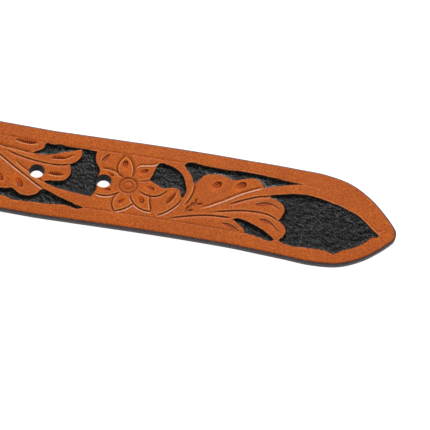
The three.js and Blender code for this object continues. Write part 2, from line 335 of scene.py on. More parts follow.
rootField = [
    (-116, 12.2), (-116.1, 9.8), (-115.3, 7.2), (-113.9, 5.2), (-113.4, 4.2), (-113.7, 1), (-113.6, -1.8),
    (-113.2, -3.2), (-113.3, -5.0), (-113.8, -6.3), (-114.6, -7.9), (-118, -7.5), (-121, -7.2),
    (-125, -6.7), (-129, -5.9), (-131.5, -5.1), (-133.2, -4.2), (-131.5, -3.5), (-129, -3.3),
    (-126.8, -2.9), (-125.2, -2.0), (-124.2, -0.2), (-124.0, 2), (-124.8, 4.2), (-125, 5.0),
    (-123.5, 5.8), (-122.3, 7.2), (-121.4, 9.3), (-121.5, 10.8), (-122, 12.1), (-124, 11.3), (-127, 10.2),
    (-130, 9.0), (-133, 7.9), (-136, 7.4), (-140, 7.2), (-138.5, 8.3), (-137, 9.3), (-136, 10.6),
    (-135.8, 12.3), (-135.3, 12.9), (-133, 12.6), (-130, 13.0), (-127, 12.5), (-122, 12.6),
]
lowerLeafField = [
    (-132.5, -7.4), (-130, -8.3), (-127, -9.6), (-123, -11.0), (-120, -12.0), (-117.5, -12.7),
    (-116.2, -13.1), (-118, -14.0), (-119.5, -13.9), (-122, -13.2), (-130, -13.7), (-138, -14.0),
    (-143.8, -14.2), (-145, -13.6), (-147.5, -13.3), (-155, -13.1), (-162.5, -13.2), (-163.8, -11.8),
    (-162.5, -10.2), (-160.8, -8.3), (-159.8, -6.8), (-159.2, -5.0), (-158.5, -4.2), (-157.8, -5.3),
    (-157, -6.8), (-156, -8.3), (-155, -9.2), (-153, -10.1), (-150.5, -10.7), (-148, -10.3),
    (-146, -10.0), (-144, -9.4), (-142.5, -10.3), (-140.5, -11.4), (-138.5, -11.7), (-136.5, -11.2),
    (-134.5, -10), (-133.5, -8.3),
]

stemCuts = [
    makeCut([(-74.3, -5.8), (-70.3, -3.4), (-65.3, 0.0), (-60.3, 3.7), (-57.3, 5.6), (-54.2, 7.3),
             (-52.5, 8.1)], 0.6, 0.3, 1.25, pale=1.0, stain=0.1),
    makeCut([(-64, -2.1), (-60, 0.3), (-56, 2.4), (-53, 3.8), (-50, 4.7), (-49.3, 5.2)], 0.6, 0.3, 1.6),
    makeCut([(-69.5, -6.5), (-65, -5.2), (-60, -3.9), (-55, -3.1), (-50, -3.0), (-47, -3.7),
             (-44.7, -5.0)], 0.6, 0.3, 1.5),
    makeCut([(-85, -12.2), (-82, -11.3), (-78, -10.0), (-74, -8.9), (-70, -8.1), (-66, -7.7),
             (-62, -7.5)], 0.6, 0.3, 1.6),
    makeCut([(-77.6, 4.2), (-77.4, 1.5), (-77.9, -1.2), (-78.8, -3.8), (-79.6, -5.2)], 0.55, 1.4, 0.3,
             stain=1.2),
    makeCut([(-38.5, 13.0), (-35, 13.0), (-32, 12.6), (-29, 11.6)], 0.1, 0.3, 0.9, stain=0.1, pale=0.25),
    makeCut([(-14, 4.5), (-10.5, 1.9), (-7.4, -0.6)], 0.1, 0.35, 0.3, stain=0.3),
    makeCut([(-7.5, -0.8), (-6.0, 0.6)], 0.1, 0.35, 0.3, stain=0.35),
    makeCut([(-6.7, -2.2), (-5.0, -4.8)], 0.1, 0.35, 0.3, stain=0.3),
]
stemVeins = [
    makeVein([(-54.5, -0.2), (-52, 1.1), (-50, 1.7), (-48, 1.5), (-45, 0.2)], (0.05, 0.7), -1),
    makeVein([(-52, -6.0), (-50.5, -5.6), (-48.5, -5.8), (-46.5, -7.0), (-44.7, -8.7), (-43.6, -9.5)],
              (0.05, 0.6), -1),
    makeVein([(-65, -10.5), (-63, -10.3), (-61, -10.8), (-59, -11.9), (-58, -12.6)], (0.1, 0.85), -1),
]
stemStrokes = [
    [(-78.8, -7.7), (-78.2, -5.8)], [(-78, -7.6), (-76.6, -7.2)], [(-77.5, -5.8), (-77, -4.2)],
    [(-76.3, -5), (-75.7, -2.3)], [(-75.5, -4.3), (-73.6, -3.8)],
]
stemSeeds = [
    makeSeed((-69.5, 5.1), (5.2, 2.9), 50),
    makeSeed((-60.6, 6.8), (5.4, 3.0), 45),
]

# The next stem, turned over across the belt, as far as the photo shows it and on to its root
turnedStemCuts = [
    makeCut([(-155, 6.4), (-151, 3.9), (-145, 0), (-140, -3), (-135, -6), (-132.5, -7.4)], 0.6, 0.3, 1.4,
             pale=0.8),
    makeCut([(-145.5, 3.2), (-143, 1.2), (-139.5, -0.9), (-136, -3.0), (-133.3, -4.4)], 0.3, 1.2, 0.4),
    makeCut([(-150.5, 7.0), (-149, 6.5), (-145, 5.4), (-140, 4.5), (-135, 4.0), (-130, 3.9), (-127, 4.3),
             (-125, 5.0)], 0.6, 0.3, 1.4),
    makeCut([(-166, 12.2), (-163, 11.3), (-159, 10.0), (-155, 8.9), (-151, 8.2), (-147, 7.9), (-143, 7.5),
             (-140, 7.2)], 0.6, 1.4, 0.3),
    makeCut([(-158.6, -4.2), (-158.4, -1.5), (-158.9, 1.2), (-159.8, 3.8), (-160.6, 5.2)], 0.55, 0.3, 1.4,
             stain=1.2),
]
turnedStemVeins = [
    makeVein([(-132.5, 6.3), (-130.5, 6.6), (-128, 7.0), (-126, 8.0), (-124.6, 9.1)], (0.0, 0.6), 1),
    makeVein([(-132.5, -0.2), (-130, -0.6), (-128, -0.5), (-126.3, -0.1)], (0.1, 0.9), 1),
    makeVein([(-147.5, 12), (-144, 11.3), (-141, 11.4), (-138.6, 12.2)], (0.05, 0.95), 1),
]
turnedStemSeeds = [
    makeSeed((-142, -6.5), (5.0, 2.8), -50),
    makeSeed((-149.6, -5.3), (4.6, 2.3), -48),
]

flower = {"at": (-101.8, -0.8), "disc": 3.3, "button": 1.7}
petalCuts = [
    makeCut([(-104.2, 2.2), (-106.4, 4.2), (-107.3, 6.5), (-106.9, 9), (-105.3, 12.3)], 0.6, 1.3, 0.3,
             pale=0),
    makeCut([(-105.3, 12.3), (-103.3, 11), (-101.6, 8.4), (-100.8, 5.4), (-101, 3.2)], 0.6, 1.2, 0.3),
    makeCut([(-100.6, 6.9), (-99.5, 8.8), (-97, 9.5), (-94.5, 10.0), (-92.6, 11.0)], 0.5, 0.3, 1.0,
             pale=1.0, stain=0.25),
    makeCut([(-94.4, 3.2), (-96, 2.2), (-98.0, 1.9)], 0.4, 0.6, 0.3),
    makeCut([(-97.4, -2.3), (-96.2, -3.0), (-93.5, -3.9), (-91, -3.7), (-88.7, -2.4), (-87.2, -0.5)],
             0.55, 0.3, 1.3),
    makeCut([(-100.3, -4.3), (-99.6, -6.4), (-97.8, -8.6), (-95.0, -10.2), (-91.3, -10.6)], 0.52, 0.3,
             1.3, pale=0.8),
    makeCut([(-91.3, -10.6), (-92, -8.4), (-92.7, -6), (-93.1, -3.9)], 0.55, 0.3, 1.0),
    makeCut([(-105.3, -5.2), (-106.3, -7.7), (-106.1, -10.3), (-104.9, -12.7)], 0.58, 0.3, 1.5),
    makeCut([(-104.9, -12.7), (-102, -11.4), (-100, -9.9), (-98.6, -8.3)], 0.58, 0.3, 1.3, pale=0.9),
    makeCut([(-113, 5.2), (-110, 5.2), (-107.5, 4.6), (-105.5, 3.4), (-104.2, 2.2)], 0.55, 1.0, 0.3),
    makeCut([(-113.5, -6.1), (-111, -6.6), (-108.5, -6.4), (-106, -5.3), (-104.4, -4.3)], 0.52, 0.3, 1.2,
             pale=0.9),
    makeCut([(-81.5, -2.8), (-82, -5), (-83.5, -7.2), (-86, -9.8), (-88.8, -11.7)], 0.55, 1.3, 0.3,
             pale=0.8),
]
petalVeins = [
    makeVein([(-83.9, -0.3), (-84, -2), (-84.8, -4), (-86.4, -6.4)], (0.15, 1.0), -1),
    makeVein([(-113.7, 8), (-112.8, 10.2), (-111, 12)], (0.1, 0.9), -1),
]
petalSeeds = [
    makeSeed((-104.5, 8.0), (4.4, 2.4), 92),
    makeSeed((-97.2, 6.1), (4.2, 1.9), 33),
    makeSeed((-93.6, -0.5), (4.0, 1.7), -12),
    makeSeed((-95.9, -6.1), (3.6, 2.3), -58),
    makeSeed((-102.8, -7.8), (3.4, 1.8), 222),
    makeSeed((-109.2, 3.0), (3.4, 1.3), -20),
    makeSeed((-109.3, -3.9), (3.4, 1.3), 15),
]

# Everything that one motif brings, by kind
bloom = {
    "fields": [petalField], "cuts": petalCuts, "veins": petalVeins, "seeds": petalSeeds, "rings": [flower],
}
tipStem = {
    "fields": [leafField], "cuts": stemCuts, "veins": stemVeins, "strokes": stemStrokes, "seeds": stemSeeds,
}
turnedStem = {
    "fields": [rootField, lowerLeafField], "cuts": turnedStemCuts, "veins": turnedStemVeins,
    "seeds": turnedStemSeeds,
}


def placed(points, shift, side):
    return np.array([(x - shift, y * side) for x, y in points])


def placedItem(item, shift, side):
    # A cut, vein, seed or ring moved along the belt and, where side is -1, turned over across it
    moved = dict(item)
    if "line" in item:
        moved["line"] = placed(item["line"], shift, side)
    else:
        moved["at"] = placed([item["at"]], shift, side)[0]
    if side < 0 and "angle" in item:
        moved["angle"] = -item["angle"]
    if side < 0 and "left" in item:
        moved["left"], moved["right"] = item["right"], item["left"]
    if side < 0 and "teeth" in item:
        moved["teethSide"] = -item["teethSide"]
    return moved


def addMotif(parts, motif, shift, side):
    for kind, items in motif.items():
        move = placed if kind in ("fields", "strokes") else placedItem
        parts[kind] += [move(item, shift, side) for item in items]


def tooledParts(repeats):
    # Every field, cut, vein, stroke, seed and ring of the belt, each moved to its own repeat
    parts = {kind: [] for kind in ("fields", "cuts", "veins", "strokes", "seeds", "rings")}
    addMotif(parts, {"fields": tipFields.values()}, 0, 1)
    for k in range(repeats):
        shift, side = k * tooling["repeat"], (-1) ** k
        addMotif(parts, bloom, shift, side)
        if k == 0:
            addMotif(parts, tipStem, shift, side)
        if k < repeats - 1:
            addMotif(parts, turnedStem, shift, side)
            addMotif(parts, {"strokes": stemStrokes}, shift + tooling["repeat"], -side)
    parts["fields"] = [smoothLine(outline, tooling["fieldStep"], True) for outline in parts["fields"]]
    for item in parts["cuts"] + parts["veins"]:
        item["line"] = smoothLine(item["line"], tooling["lineStep"])
    return parts


def near(spots, line, margin):
    low, high = line.min(0) - margin, line.max(0) + margin
    return np.flatnonzero(((spots > low) & (spots < high)).all(1))


def snapToLines(spots, lines, reach):
    # Moves each spot that lies close to a line onto it, so that edges stay crisp on a coarse grid
    moved = spots.copy()
    closest = np.full(len(spots), farAway)
    for line, closed in lines:
        index = near(spots, line, reach.max())
        if not len(index):
            continue
        d, point, _, _ = nearestOn(spots[index], line, closed)
        take = (d < reach[index]) & (d < closest[index])
        closest[index[take]] = d[take]
        moved[index[take]] = point[take]
    return moved


# What each grid point keeps for the material: distances in millimetres, and strengths from 0 to 1
markFar = {
    "field": 3.0,  # to the edge of a dyed field, negative inside
    "away": 3.0,  # to the nearest cut
    "slope": 0.0,  # 1 where the leather slopes down to that cut
    "cutPower": 0.0,
    # Strength of the painted highlight on a cut's slope that faces the far lamp
    "pale": 0.0,
    "veinAlong": 0.0,
    "veinAway": 3.0,
    "veinTeeth": 0.0,  # 1 on the side of the teeth
    "veinPower": 0.0,
    "seedRim": 2.5,  # 1 at the seed's edge
    "seedAlong": 0.0,
    "seedAcross": 0.0,
    "ring": 6.0,  # to the middle of the flower
    # This mark also masks the painted highlight on those edges and the painted glints inside fields
    "lip": 0.0,  # raised edge that faces the viewer over a field
    "border": 0.0,  # 1 on the line where the panel meets the plain border
    "side": 0.0,  # 1 on the belt's side, 2 in a hole
}

# Depths, widths and reaches in millimetres
relief = {
    "wallStart": -0.02,
    "wallShare": 0.58,  # of a field's depth that its steep wall takes
    "shallowShare": 0.6,  # of that depth that is missing at the tip
    "sag": 0.1,  # of the leather round a field
    "sagWidth": 0.35,
    "stampFrom": (0.3, 0.8),  # in from a field's edge
    "stampCells": 128,
    "stampSeed": 5,
    "cutReach": 2.6,
    "steepWidth": 0.6,  # a narrower side of a cut is straight
    "bevelCurve": 1.6,
    "cutMiddle": 0.06,
    # Shares of a cut's length: in which it deepens, in which it rises again, and at which it is gone
    "fadeIn": 0.14,
    "fadeOut": 0.1,
    "fadeEnd": 1.04,
    "paleWidth": 1.9,
    "veinReach": 2.0,
    "veinDepth": 0.36,
    "veinWidth": 0.36,
    "strokeReach": 1.2,
    "strokeDepth": 0.42,
    "strokeWidth": 0.32,
    "strokePower": 0.9,
    "seedReach": 2.2,  # in seed radii
    "seedDepth": 0.2,
    "flowerReach": 5.5,
    "discSink": 0.12,
    "discCut": (0.24, 0.3),  # depth and half width
    "discOuterDepth": 0.34,
    "buttonCut": (0.14, 0.35),
    "buttonDome": 0.12,
    "borderWidth": 0.45,
}


def stampedGround(spots):
    # Even bumps between 0 and 1, a little longer along one slant, as the stamping tool leaves them
    slant = math.radians(tooling["stampSlant"])
    turned = spots @ np.array([[math.cos(slant), -math.sin(slant)], [math.sin(slant), math.cos(slant)]])
    cells = turned / tooling["stampSize"] + 4000
    corner = np.floor(cells).astype(int)
    share = easeStep(cells - corner, 0, 1)
    count = relief["stampCells"]
    heights = np.random.default_rng(relief["stampSeed"]).random((count, count))
    column, row = corner.T % count
    nextColumn, nextRow = (column + 1) % count, (row + 1) % count
    low = heights[column, row] * (1 - share[:, 0]) + heights[nextColumn, row] * share[:, 0]
    high = heights[column, nextRow] * (1 - share[:, 0]) + heights[nextColumn, nextRow] * share[:, 0]
    return low * (1 - share[:, 1]) + high * share[:, 1]


def markField(spots, marks, outline):
    index = near(spots, outline, relief["cutReach"])
    if not len(index):
        return
    d, point, _, _ = nearestOn(spots[index], outline, True)
    lip = np.clip(1.3 * (spots[index] - point)[:, 1] / np.maximum(d, 0.05), 0, 1)
    d = np.where(insideOf(spots[index], outline), -d, d)
    closer = d < marks["field"][index]
    marks["field"][index[closer]] = d[closer]
    marks["lip"][index[closer]] = lip[closer]


def groundHeight(spots, inside):
    # Sunk fields with a wall and a fillet, stamped all over, and a slight sag round them
    wall = relief["wallShare"] * easeStep(inside, relief["wallStart"], tooling["fieldWall"])
    fillet = (1 - relief["wallShare"]) * easeStep(inside, 0, tooling["fieldFillet"])
    depth = tooling["fieldDepth"] * (wall + fillet)
    depth *= 1 - relief["shallowShare"] * easeStep(spots[:, 0], *tooling["shallowFrom"])
    sag = relief["sag"] * np.exp(inside / relief["sagWidth"])
    stamped = tooling["stampRise"] * (stampedGround(spots) - 0.5) * easeStep(inside, *relief["stampFrom"])
    return stamped - np.where(inside > relief["wallStart"], depth, sag)


def carveCut(spots, height, marks, cut):
    index = near(spots, cut["line"], relief["cutReach"])
    if not len(index):
        return
    here = spots[index]
    d, point, side, share = nearestOn(here, cut["line"])
    width = np.where(side > 0, cut["left"], cut["right"])
    fade = np.minimum(share / relief["fadeIn"], (relief["fadeEnd"] - share) / relief["fadeOut"]).clip(0, 1)
    slope = np.clip(1 - d / width, 0, 1) ** np.where(width < relief["steepWidth"], 1, relief["bevelCurve"])
    height[index] = np.minimum(height[index], -tooling["cutShare"] * cut["depth"] * fade * slope)
    wideSide = 1 if cut["left"] > cut["right"] else -1
    onSlope = side * wideSide > 0
    closer = d < marks["away"][index]
    chosen = index[closer]
    marks["away"][chosen] = d[closer]
    marks["slope"][chosen] = np.where(d < relief["cutMiddle"], 0.5, onSlope)[closer]
    marks["cutPower"][chosen] = (fade * cut["stain"])[closer]
    # Painted highlight: on the cut's slope, where that slope faces the far lamp
    facing = np.clip(-1.4 * (here - point)[:, 1] / np.maximum(d, 0.05) * side * wideSide, 0, 1)
    pale = fade * cut["pale"] * facing * onSlope * (d < relief["paleWidth"])
    marks["pale"][chosen] = pale[closer]


def carveVein(spots, height, marks, vein):
    line = vein["line"]
    index = near(spots, line, relief["veinReach"])
    if not len(index):
        return
    d, _, side, share = nearestOn(spots[index], line)
    length = np.linalg.norm(np.diff(line, axis=0), axis=1).sum()
    # Thin at its start, widest in the middle and tapered to its end
    taper = np.sin(np.clip(share * 1.06, 0.02, 1) * math.pi * 0.86) ** 0.6
    groove = np.exp(-((d / (relief["veinWidth"] * taper + 0.05)) ** 2))
    height[index] = np.minimum(height[index], -relief["veinDepth"] * taper * groove)
    marks["veinAlong"][index] = share * length
    marks["veinAway"][index] = d
    marks["veinTeeth"][index] = side * vein["teethSide"] > 0
    first, last = vein["teeth"]
    inComb = np.clip((share - first) / (last - first), 0, 1)
    ends = np.clip(np.minimum(share, 1 - share) / 0.05, 0, 1) * (d < relief["paleWidth"])
    marks["veinPower"][index] = ends * (0.35 + 0.65 * np.sin(inComb * math.pi) ** 0.6)


def carveStroke(spots, height, marks, line):
    index = near(spots, line, relief["strokeReach"])
    if not len(index):
        return
    d, _, _, share = nearestOn(spots[index], line)
    groove = np.exp(-((d / relief["strokeWidth"]) ** 2)) * easeStep(share, -0.1, 0.5)
    height[index] = np.minimum(height[index], -relief["strokeDepth"] * groove)
    closer = d < marks["away"][index]
    chosen = index[closer]
    marks["away"][chosen] = np.maximum(d[closer] - relief["cutMiddle"], 0)
    marks["cutPower"][chosen] = relief["strokePower"]
    marks["slope"][chosen] = 1
    marks["pale"][chosen] = 0


def carveSeed(spots, height, marks, seed):
    turn = math.radians(seed["angle"])
    rel = 2 * (spots - seed["at"])
    along = rel @ np.array([math.cos(turn), math.sin(turn)]) / seed["size"][0]
    across = rel @ np.array([-math.sin(turn), math.cos(turn)]) / seed["size"][1]
    rim = np.hypot(along, across)
    index = np.flatnonzero(rim < np.minimum(marks["seedRim"], relief["seedReach"]))
    height[index] = np.minimum(height[index], -relief["seedDepth"] * easeStep(-rim[index], -1.05, -0.45))
    marks["seedRim"][index] = rim[index]
    marks["seedAlong"][index] = along[index]
    marks["seedAcross"][index] = across[index]


def carveRing(spots, height, marks, ring):
    # The middle of a flower: a sunk disc inside one ring, with a domed button inside another
    index = np.flatnonzero(np.hypot(*(spots - ring["at"]).T) < relief["flowerReach"])
    r = np.hypot(*(spots[index] - ring["at"]).T)
    marks["ring"][index] = r
    (rimDepth, rimWidth), (buttonDepth, buttonWidth) = relief["discCut"], relief["buttonCut"]
    rim = np.exp(-(((r - ring["disc"]) / rimWidth) ** 2))
    button = np.exp(-(((r - ring["button"]) / buttonWidth) ** 2))
    dome = relief["buttonDome"] * np.clip(1 - r / ring["button"], 0, 1)
    disc = dome - relief["discSink"] - rimDepth * rim - buttonDepth * button
    outside = np.minimum(height[index], -relief["discOuterDepth"] * rim)
    height[index] = np.where(r < ring["disc"], disc, outside)
    clear = index[r < ring["disc"]]
    marks["cutPower"][clear] = 0
    marks["veinPower"][clear] = 0


def carve(spots, parts):
    # Height of the leather against its plain surface at each spot, and the marks for its material
    marks = {key: np.full(len(spots), far) for key, far in markFar.items()}
    for outline in parts["fields"]:
        markField(spots, marks, outline)
    height = groundHeight(spots, -marks["field"])
    carvers = (("cuts", carveCut), ("veins", carveVein), ("strokes", carveStroke), ("seeds", carveSeed),
               ("rings", carveRing))
    for kind, carveOne in carvers:
        for item in parts[kind]:
            carveOne(spots, height, marks, item)
    return height, marks


# Strap

strap = {
    "width": 38.1,
    "thickness": 3.0,
    "tipLength": 60.0,
    "archLength": 134.0,
    "archRise": 3.5,
    "archLean": 0.9,
    "archFullness": 1.125,
    "firstHole": -111.1,
    "holeSpacing": 25.4,
    "holeCount": 5,
    "holeOffset": -0.35,
    "holeRadius": 2.9,
    "holeTaper": 0.84,
    "holeLean": 0.38,
    "holeLip": 0.88,  # height, as a share of the thickness, down to which the hole is straight
    "barPlace": -1075.9,
    "barHeight": 4.3,
    "foldLength": 62.0,
    "foldThickness": 2.0,
    "foldEndThickness": 1.0,
    "skive": 12.0,
    "eyeRadius": 2.3,
    "eyeTop": 71.3,  # degrees round the bar where the upper layer meets it
    # Distance from the bar and height of the upper layer's underside there
    "foldHeights": [
        (0.7, 6.5), (14, 2), (18.7, 2), (24.7, 4.2), (37.3, 4.2), (43.3, 2), (50, 2), (62, 1), (92, 0),
    ],
    "slotHalf": 3.5,
    "slotEnd": 10.0,
    "edgeRounding": 0.5,
    "edgeWidth": 0.62,
    "farEdgeDye": (0.95, 0.4),  # in from the edge, where the side's dye begins and is full
    "nearEdgeDye": (0.6, 0.14),
    "foldStep": 1.2,
    "foldEndStep": 1.5,
}
tipRows = [  # share of the tip's length back from its point, share of the half width
    (0.009, 0.0), (0.017, 0.11), (0.038, 0.205), (0.1, 0.425), (0.2, 0.704), (0.333, 0.933), (0.5, 1.025),
    (0.667, 1.021), (0.833, 1.013), (1.0, 1.0),
]
gridStep = {"fine": 0.353, "holes": 0.7056, "run": 1.5, "tipTo": -62.0, "fineTo": -168.9, "holesTo": -225.0}
snapReach = {"fine": 0.16, "holes": 0.33, "run": 0.36, "upTo": 15.0}
edgeInsets = [0.0, 0.14, 0.34, 0.62, 1.0]
borderRows = [17.4, 16.6, 15.8, 15.1, 14.5, 14.0, 13.6]
innerRows = {"step": 0.35, "count": 38}
sideLevels = [0.62, 0.25, 0.0]  # heights of the side's points, as shares of the thickness
sideTuck = 0.25  # the lowest of them lie this far in
holeClear = 8.0  # the underside is plain strips up to this far from a hole
# Grid lines between a hole's middle and its rim, and on to where the grid is straight again
holeRings = {
    "fine": {"stride": 1, "ringAt": 7, "endAt": 14, "cell": 0.3, "shift": 1},
    "coarse": {"stride": 2, "ringAt": 4, "endAt": 8, "cell": 0.5, "shift": 0},
}


def holeCentres():
    return [
        np.array([strap["firstHole"] - i * strap["holeSpacing"], strap["holeOffset"]])
        for i in range(strap["holeCount"])
    ]


def foldLift(fromBar):
    # Height of the upper layer's underside over the folded end, with its bends eased
    places = np.arange(-6, 120, 0.5)
    heights = np.interp(places, *zip(*strap["foldHeights"]))
    eased = np.convolve(np.pad(heights, 3, "edge"), np.full(7, 1 / 7), "valid")
    return np.interp(fromBar, places, eased)


def liftAt(x):
    # Height of the underside: the low arch behind the tip, then flat, then over the folded end
    share = np.clip(-x / strap["archLength"], 0, 1)
    arch = strap["archRise"] * np.abs(np.sin(math.pi * share ** strap["archLean"])) ** strap["archFullness"]
    return arch + foldLift(x - strap["barPlace"])


def strapOutline():
    # Points on one edge from the tip's point back, the way in from each, and how many lie close together
    half = strap["width"] / 2
    rows = [(-back * strap["tipLength"], share * half) for back, share in tipRows]
    mirrored = [(x, -y) for x, y in rows[1:3]][::-1]
    straightOn = [(gridStep["tipTo"] - 2, half), (gridStep["tipTo"] - 6, half)]
    line = smoothLine(mirrored + rows + straightOn, 0.3, sharpTurn=180)
    tip = line[int(np.argmin(np.hypot(*line.T))):]
    tip = tip[tip[:, 0] > gridStep["tipTo"] + 0.2]
    holes = [x for x, _ in holeCentres()]
    fineAnchors = [gridStep["tipTo"], *holes[:3], gridStep["fineTo"]]
    wideAnchors = [gridStep["fineTo"], *holes[3:], gridStep["holesTo"]]
    stations = []
    for anchors, step in ((fineAnchors, gridStep["fine"]), (wideAnchors, gridStep["holes"])):
        for a, b in zip(anchors, anchors[1:]):
            stations.append(np.linspace(a, b, round((a - b) / step) + 1)[:-1])
    fineCount = len(tip) + sum(len(s) for s in stations[:len(fineAnchors) - 1]) + 1
    start, end = gridStep["holesTo"], strap["barPlace"] + strap["foldLength"]
    stations.append(np.linspace(start, end, round((start - end) / gridStep["run"]) + 1))
    x = np.concatenate(stations)
    line = np.vstack([tip, np.column_stack([x, np.full(len(x), half)])])
    way = np.gradient(line, axis=0)
    way[0] = (0, 1)
    way /= np.linalg.norm(way, axis=1, keepdims=True)
    inward = -np.abs(way[:, ::-1])
    inward[len(tip):] = (0, -1)
    return line, inward, fineCount


def strapGrid(line, inward, fineCount):
    # Flat places of the grid's points, column by column, and which of them are used
    innermost = line + inward * edgeInsets[-1]
    innerHalf = strap["width"] / 2 - edgeInsets[-1]
    shares = borderRows + [innerRows["step"] * k for k in range(innerRows["count"], 0, -1)]
    upper = [line + inward * inset for inset in edgeInsets]
    upper += [np.column_stack([innermost[:, 0], innermost[:, 1] * y / innerHalf]) for y in shares]
    middle = np.column_stack([innermost[:, 0], np.zeros(len(line))])
    lower = [row * (1, -1) for row in upper[::-1]]
    grid = np.stack(upper + [middle] + lower, axis=1)
    keep = np.ones(grid.shape[:2], bool)
    keep[fineCount:, 1::2] = False
    return grid, keep


def snappedGrid(grid, keep, line, fineCount, parts):
    # The grid with its points moved onto edges of the pattern where they lie close to them
    reach = np.where(np.arange(len(line)) < fineCount, snapReach["fine"], snapReach["holes"])
    reach[line[:, 0] < gridStep["holesTo"]] = snapReach["run"]
    spots = grid.reshape(-1, 2)
    reach = np.repeat(reach, grid.shape[1])
    reach[(np.abs(spots[:, 1]) > snapReach["upTo"]) | ~keep.ravel()] = 0
    lines = [(outline, True) for outline in parts["fields"]] + [(cut["line"], False) for cut in parts["cuts"]]
    return snapToLines(spots, lines, reach).reshape(grid.shape)


def bendRoundHoles(grid, flat, line, fineCount):
    # Moves the grid into rings round each hole; returns the rims, and what lies inside them
    inHole = np.zeros(grid.shape[:2], bool)
    rims = []
    for centre in holeCentres():
        column = int(np.argmin(np.abs(line[:, 0] - centre[0])))
        how = holeRings["fine" if column < fineCount else "coarse"]
        ringAt, endAt = how["ringAt"], how["endAt"]
        row = grid.shape[1] // 2 + how["shift"]
        rim = []
        for across in range(-endAt, endAt + 1):
            for along in range(-endAt, endAt + 1):
                c, r = column + across, row + along * how["stride"]
                level = max(abs(across), abs(along))
                if level < ringAt:
                    inHole[c, r] = True
                    continue
                away = flat[c, r] - flat[column, row]
                away /= np.hypot(*away)
                onRing = centre + away * (strap["holeRadius"] + (level - ringAt) * how["cell"])
                t = (level - ringAt) / (endAt - ringAt)
                grid[c, r] = onRing * (1 - t) + grid[c, r] * t
                if level == ringAt:
                    rim.append((math.atan2(away[1], away[0]), c, r))
        rims.append([(c, r) for _, c, r in sorted(rim)])
    return rims, inHole


def strapRelief(grid, use, parts, repeats):
    # Height against the plain leather, the marks, and how far the edge is rounded off, at each grid point
    spots = grid.reshape(-1, 2)
    live = np.flatnonzero(use.ravel())
    height = np.zeros(len(spots))
    marks = {key: np.full(len(spots), far) for key, far in markFar.items()}
    height[live], liveMarks = carve(spots[live], parts)
    for key, values in liveMarks.items():
        marks[key][live] = values

    # Where the panel meets the plain border
    tooledTo = flower["at"][0] - (repeats - 1) * tooling["repeat"] - tooling["pastFlower"]
    onPanel = np.clip((tooling["borderFrom"] - spots[:, 0]) / tooling["borderFadeIn"], 0, 1)
    onPanel *= spots[:, 0] > tooledTo
    fromBorder = np.abs(np.abs(spots[:, 1]) - tooling["panelHalf"])
    marks["border"] = np.clip(1 - fromBorder / relief["borderWidth"], 0, 1) * onPanel
    height = np.minimum(height, -tooling["borderCut"] * marks["border"])

    # Rounded edge, dyed a little further over it on the far side
    inset = np.full(use.shape, 9.0)
    for i, d in enumerate(edgeInsets):
        inset[:, i] = inset[:, -1 - i] = d
    inset = inset.ravel()
    rounding = strap["edgeRounding"] * np.clip(1 - inset / strap["edgeWidth"], 0, 1) ** 2
    farDye, nearDye = (easeStep(inset, *strap[key]) for key in ("farEdgeDye", "nearEdgeDye"))
    marks["side"] = np.where(spots[:, 1] > 0, farDye, nearDye)
    return height - rounding, marks, rounding.reshape(use.shape)


class LeatherPoints:
    # The strap's points with their marks, numbered as they are added

    def __init__(self):
        self.places = []
        self.marks = {key: [] for key in markFar}
        self.count = 0

    def add(self, places, marks):
        places = np.asarray(places, float)
        self.places.append(places)
        for key, far in markFar.items():
            self.marks[key].append(np.broadcast_to(marks.get(key, far), len(places)))
        self.count += len(places)
        return list(range(self.count - len(places), self.count))


def bridge(a, b):
    # Faces between two rows of as many points
    return [(a[i], a[i + 1], b[i + 1], b[i]) for i in range(len(a) - 1)]


def topFaces(number, fineCount):
    # Quads over the tooled face; behind the fine part every second row ends in three triangles
    columns, rows = number.shape
    faces = []
    for c in range(columns - 1):
        if c == fineCount - 1:
            for r in range(0, rows - 1, 2):
                a, b, e = number[c, r:r + 3]
                f, _, g = number[c + 1, r:r + 3]
                faces += [(a, b, f), (b, e, g), (b, g, f)]
            continue
        stride = 1 if c < fineCount - 1 else 2
        for quad in bridge(number[c, ::stride], number[c + 1, ::stride]):
            if min(quad) >= 0:
                faces.append(quad)
    return faces


def sideFaces(points, number, line):
    # Both sides of the strap, as faces and as rows of point numbers from the top down
    far, near = [number[:, 0]], [number[:, -1]]
    for share in sideLevels:
        z = liftAt(line[:, 0]) + strap["thickness"] * share
        y = line[:, 1] - (0 if share else sideTuck)
        y[0] = 0
        far.append(np.array(points.add(np.column_stack([line[:, 0], y, z]), {"side": 1.0})))
        near.append(np.array(points.add(np.column_stack([line[:, 0], -y, z]), {"side": 1.0})))
    faces = []
    for k in range(len(sideLevels)):
        faces += bridge(far[k], far[k + 1]) + bridge(near[k + 1], near[k])
    return faces, far, near


def holeFaces(points, number, grid, rims):
    # Walls of the holes, which taper and lean as punched ones do, and their rings on the underside
    faces, lowRings = [], []
    for rim, centre in zip(rims, holeCentres()):
        top = [number[c, r] for c, r in rim]
        places = np.array([grid[c, r] for c, r in rim])
        lift = liftAt(places[:, 0])
        leaned = centre + (places - centre) * strap["holeTaper"] + (0, -strap["holeLean"])
        low = points.add(np.column_stack([leaned, lift]), {"side": 2.0})
        lip = lift + strap["thickness"] * strap["holeLip"]
        middle = points.add(np.column_stack([places, lip]), {"side": 2.0})
        faces += bridge(top + top[:1], middle + middle[:1]) + bridge(middle + middle[:1], low + low[:1])
        lowRings.append(low)
    return faces, lowRings


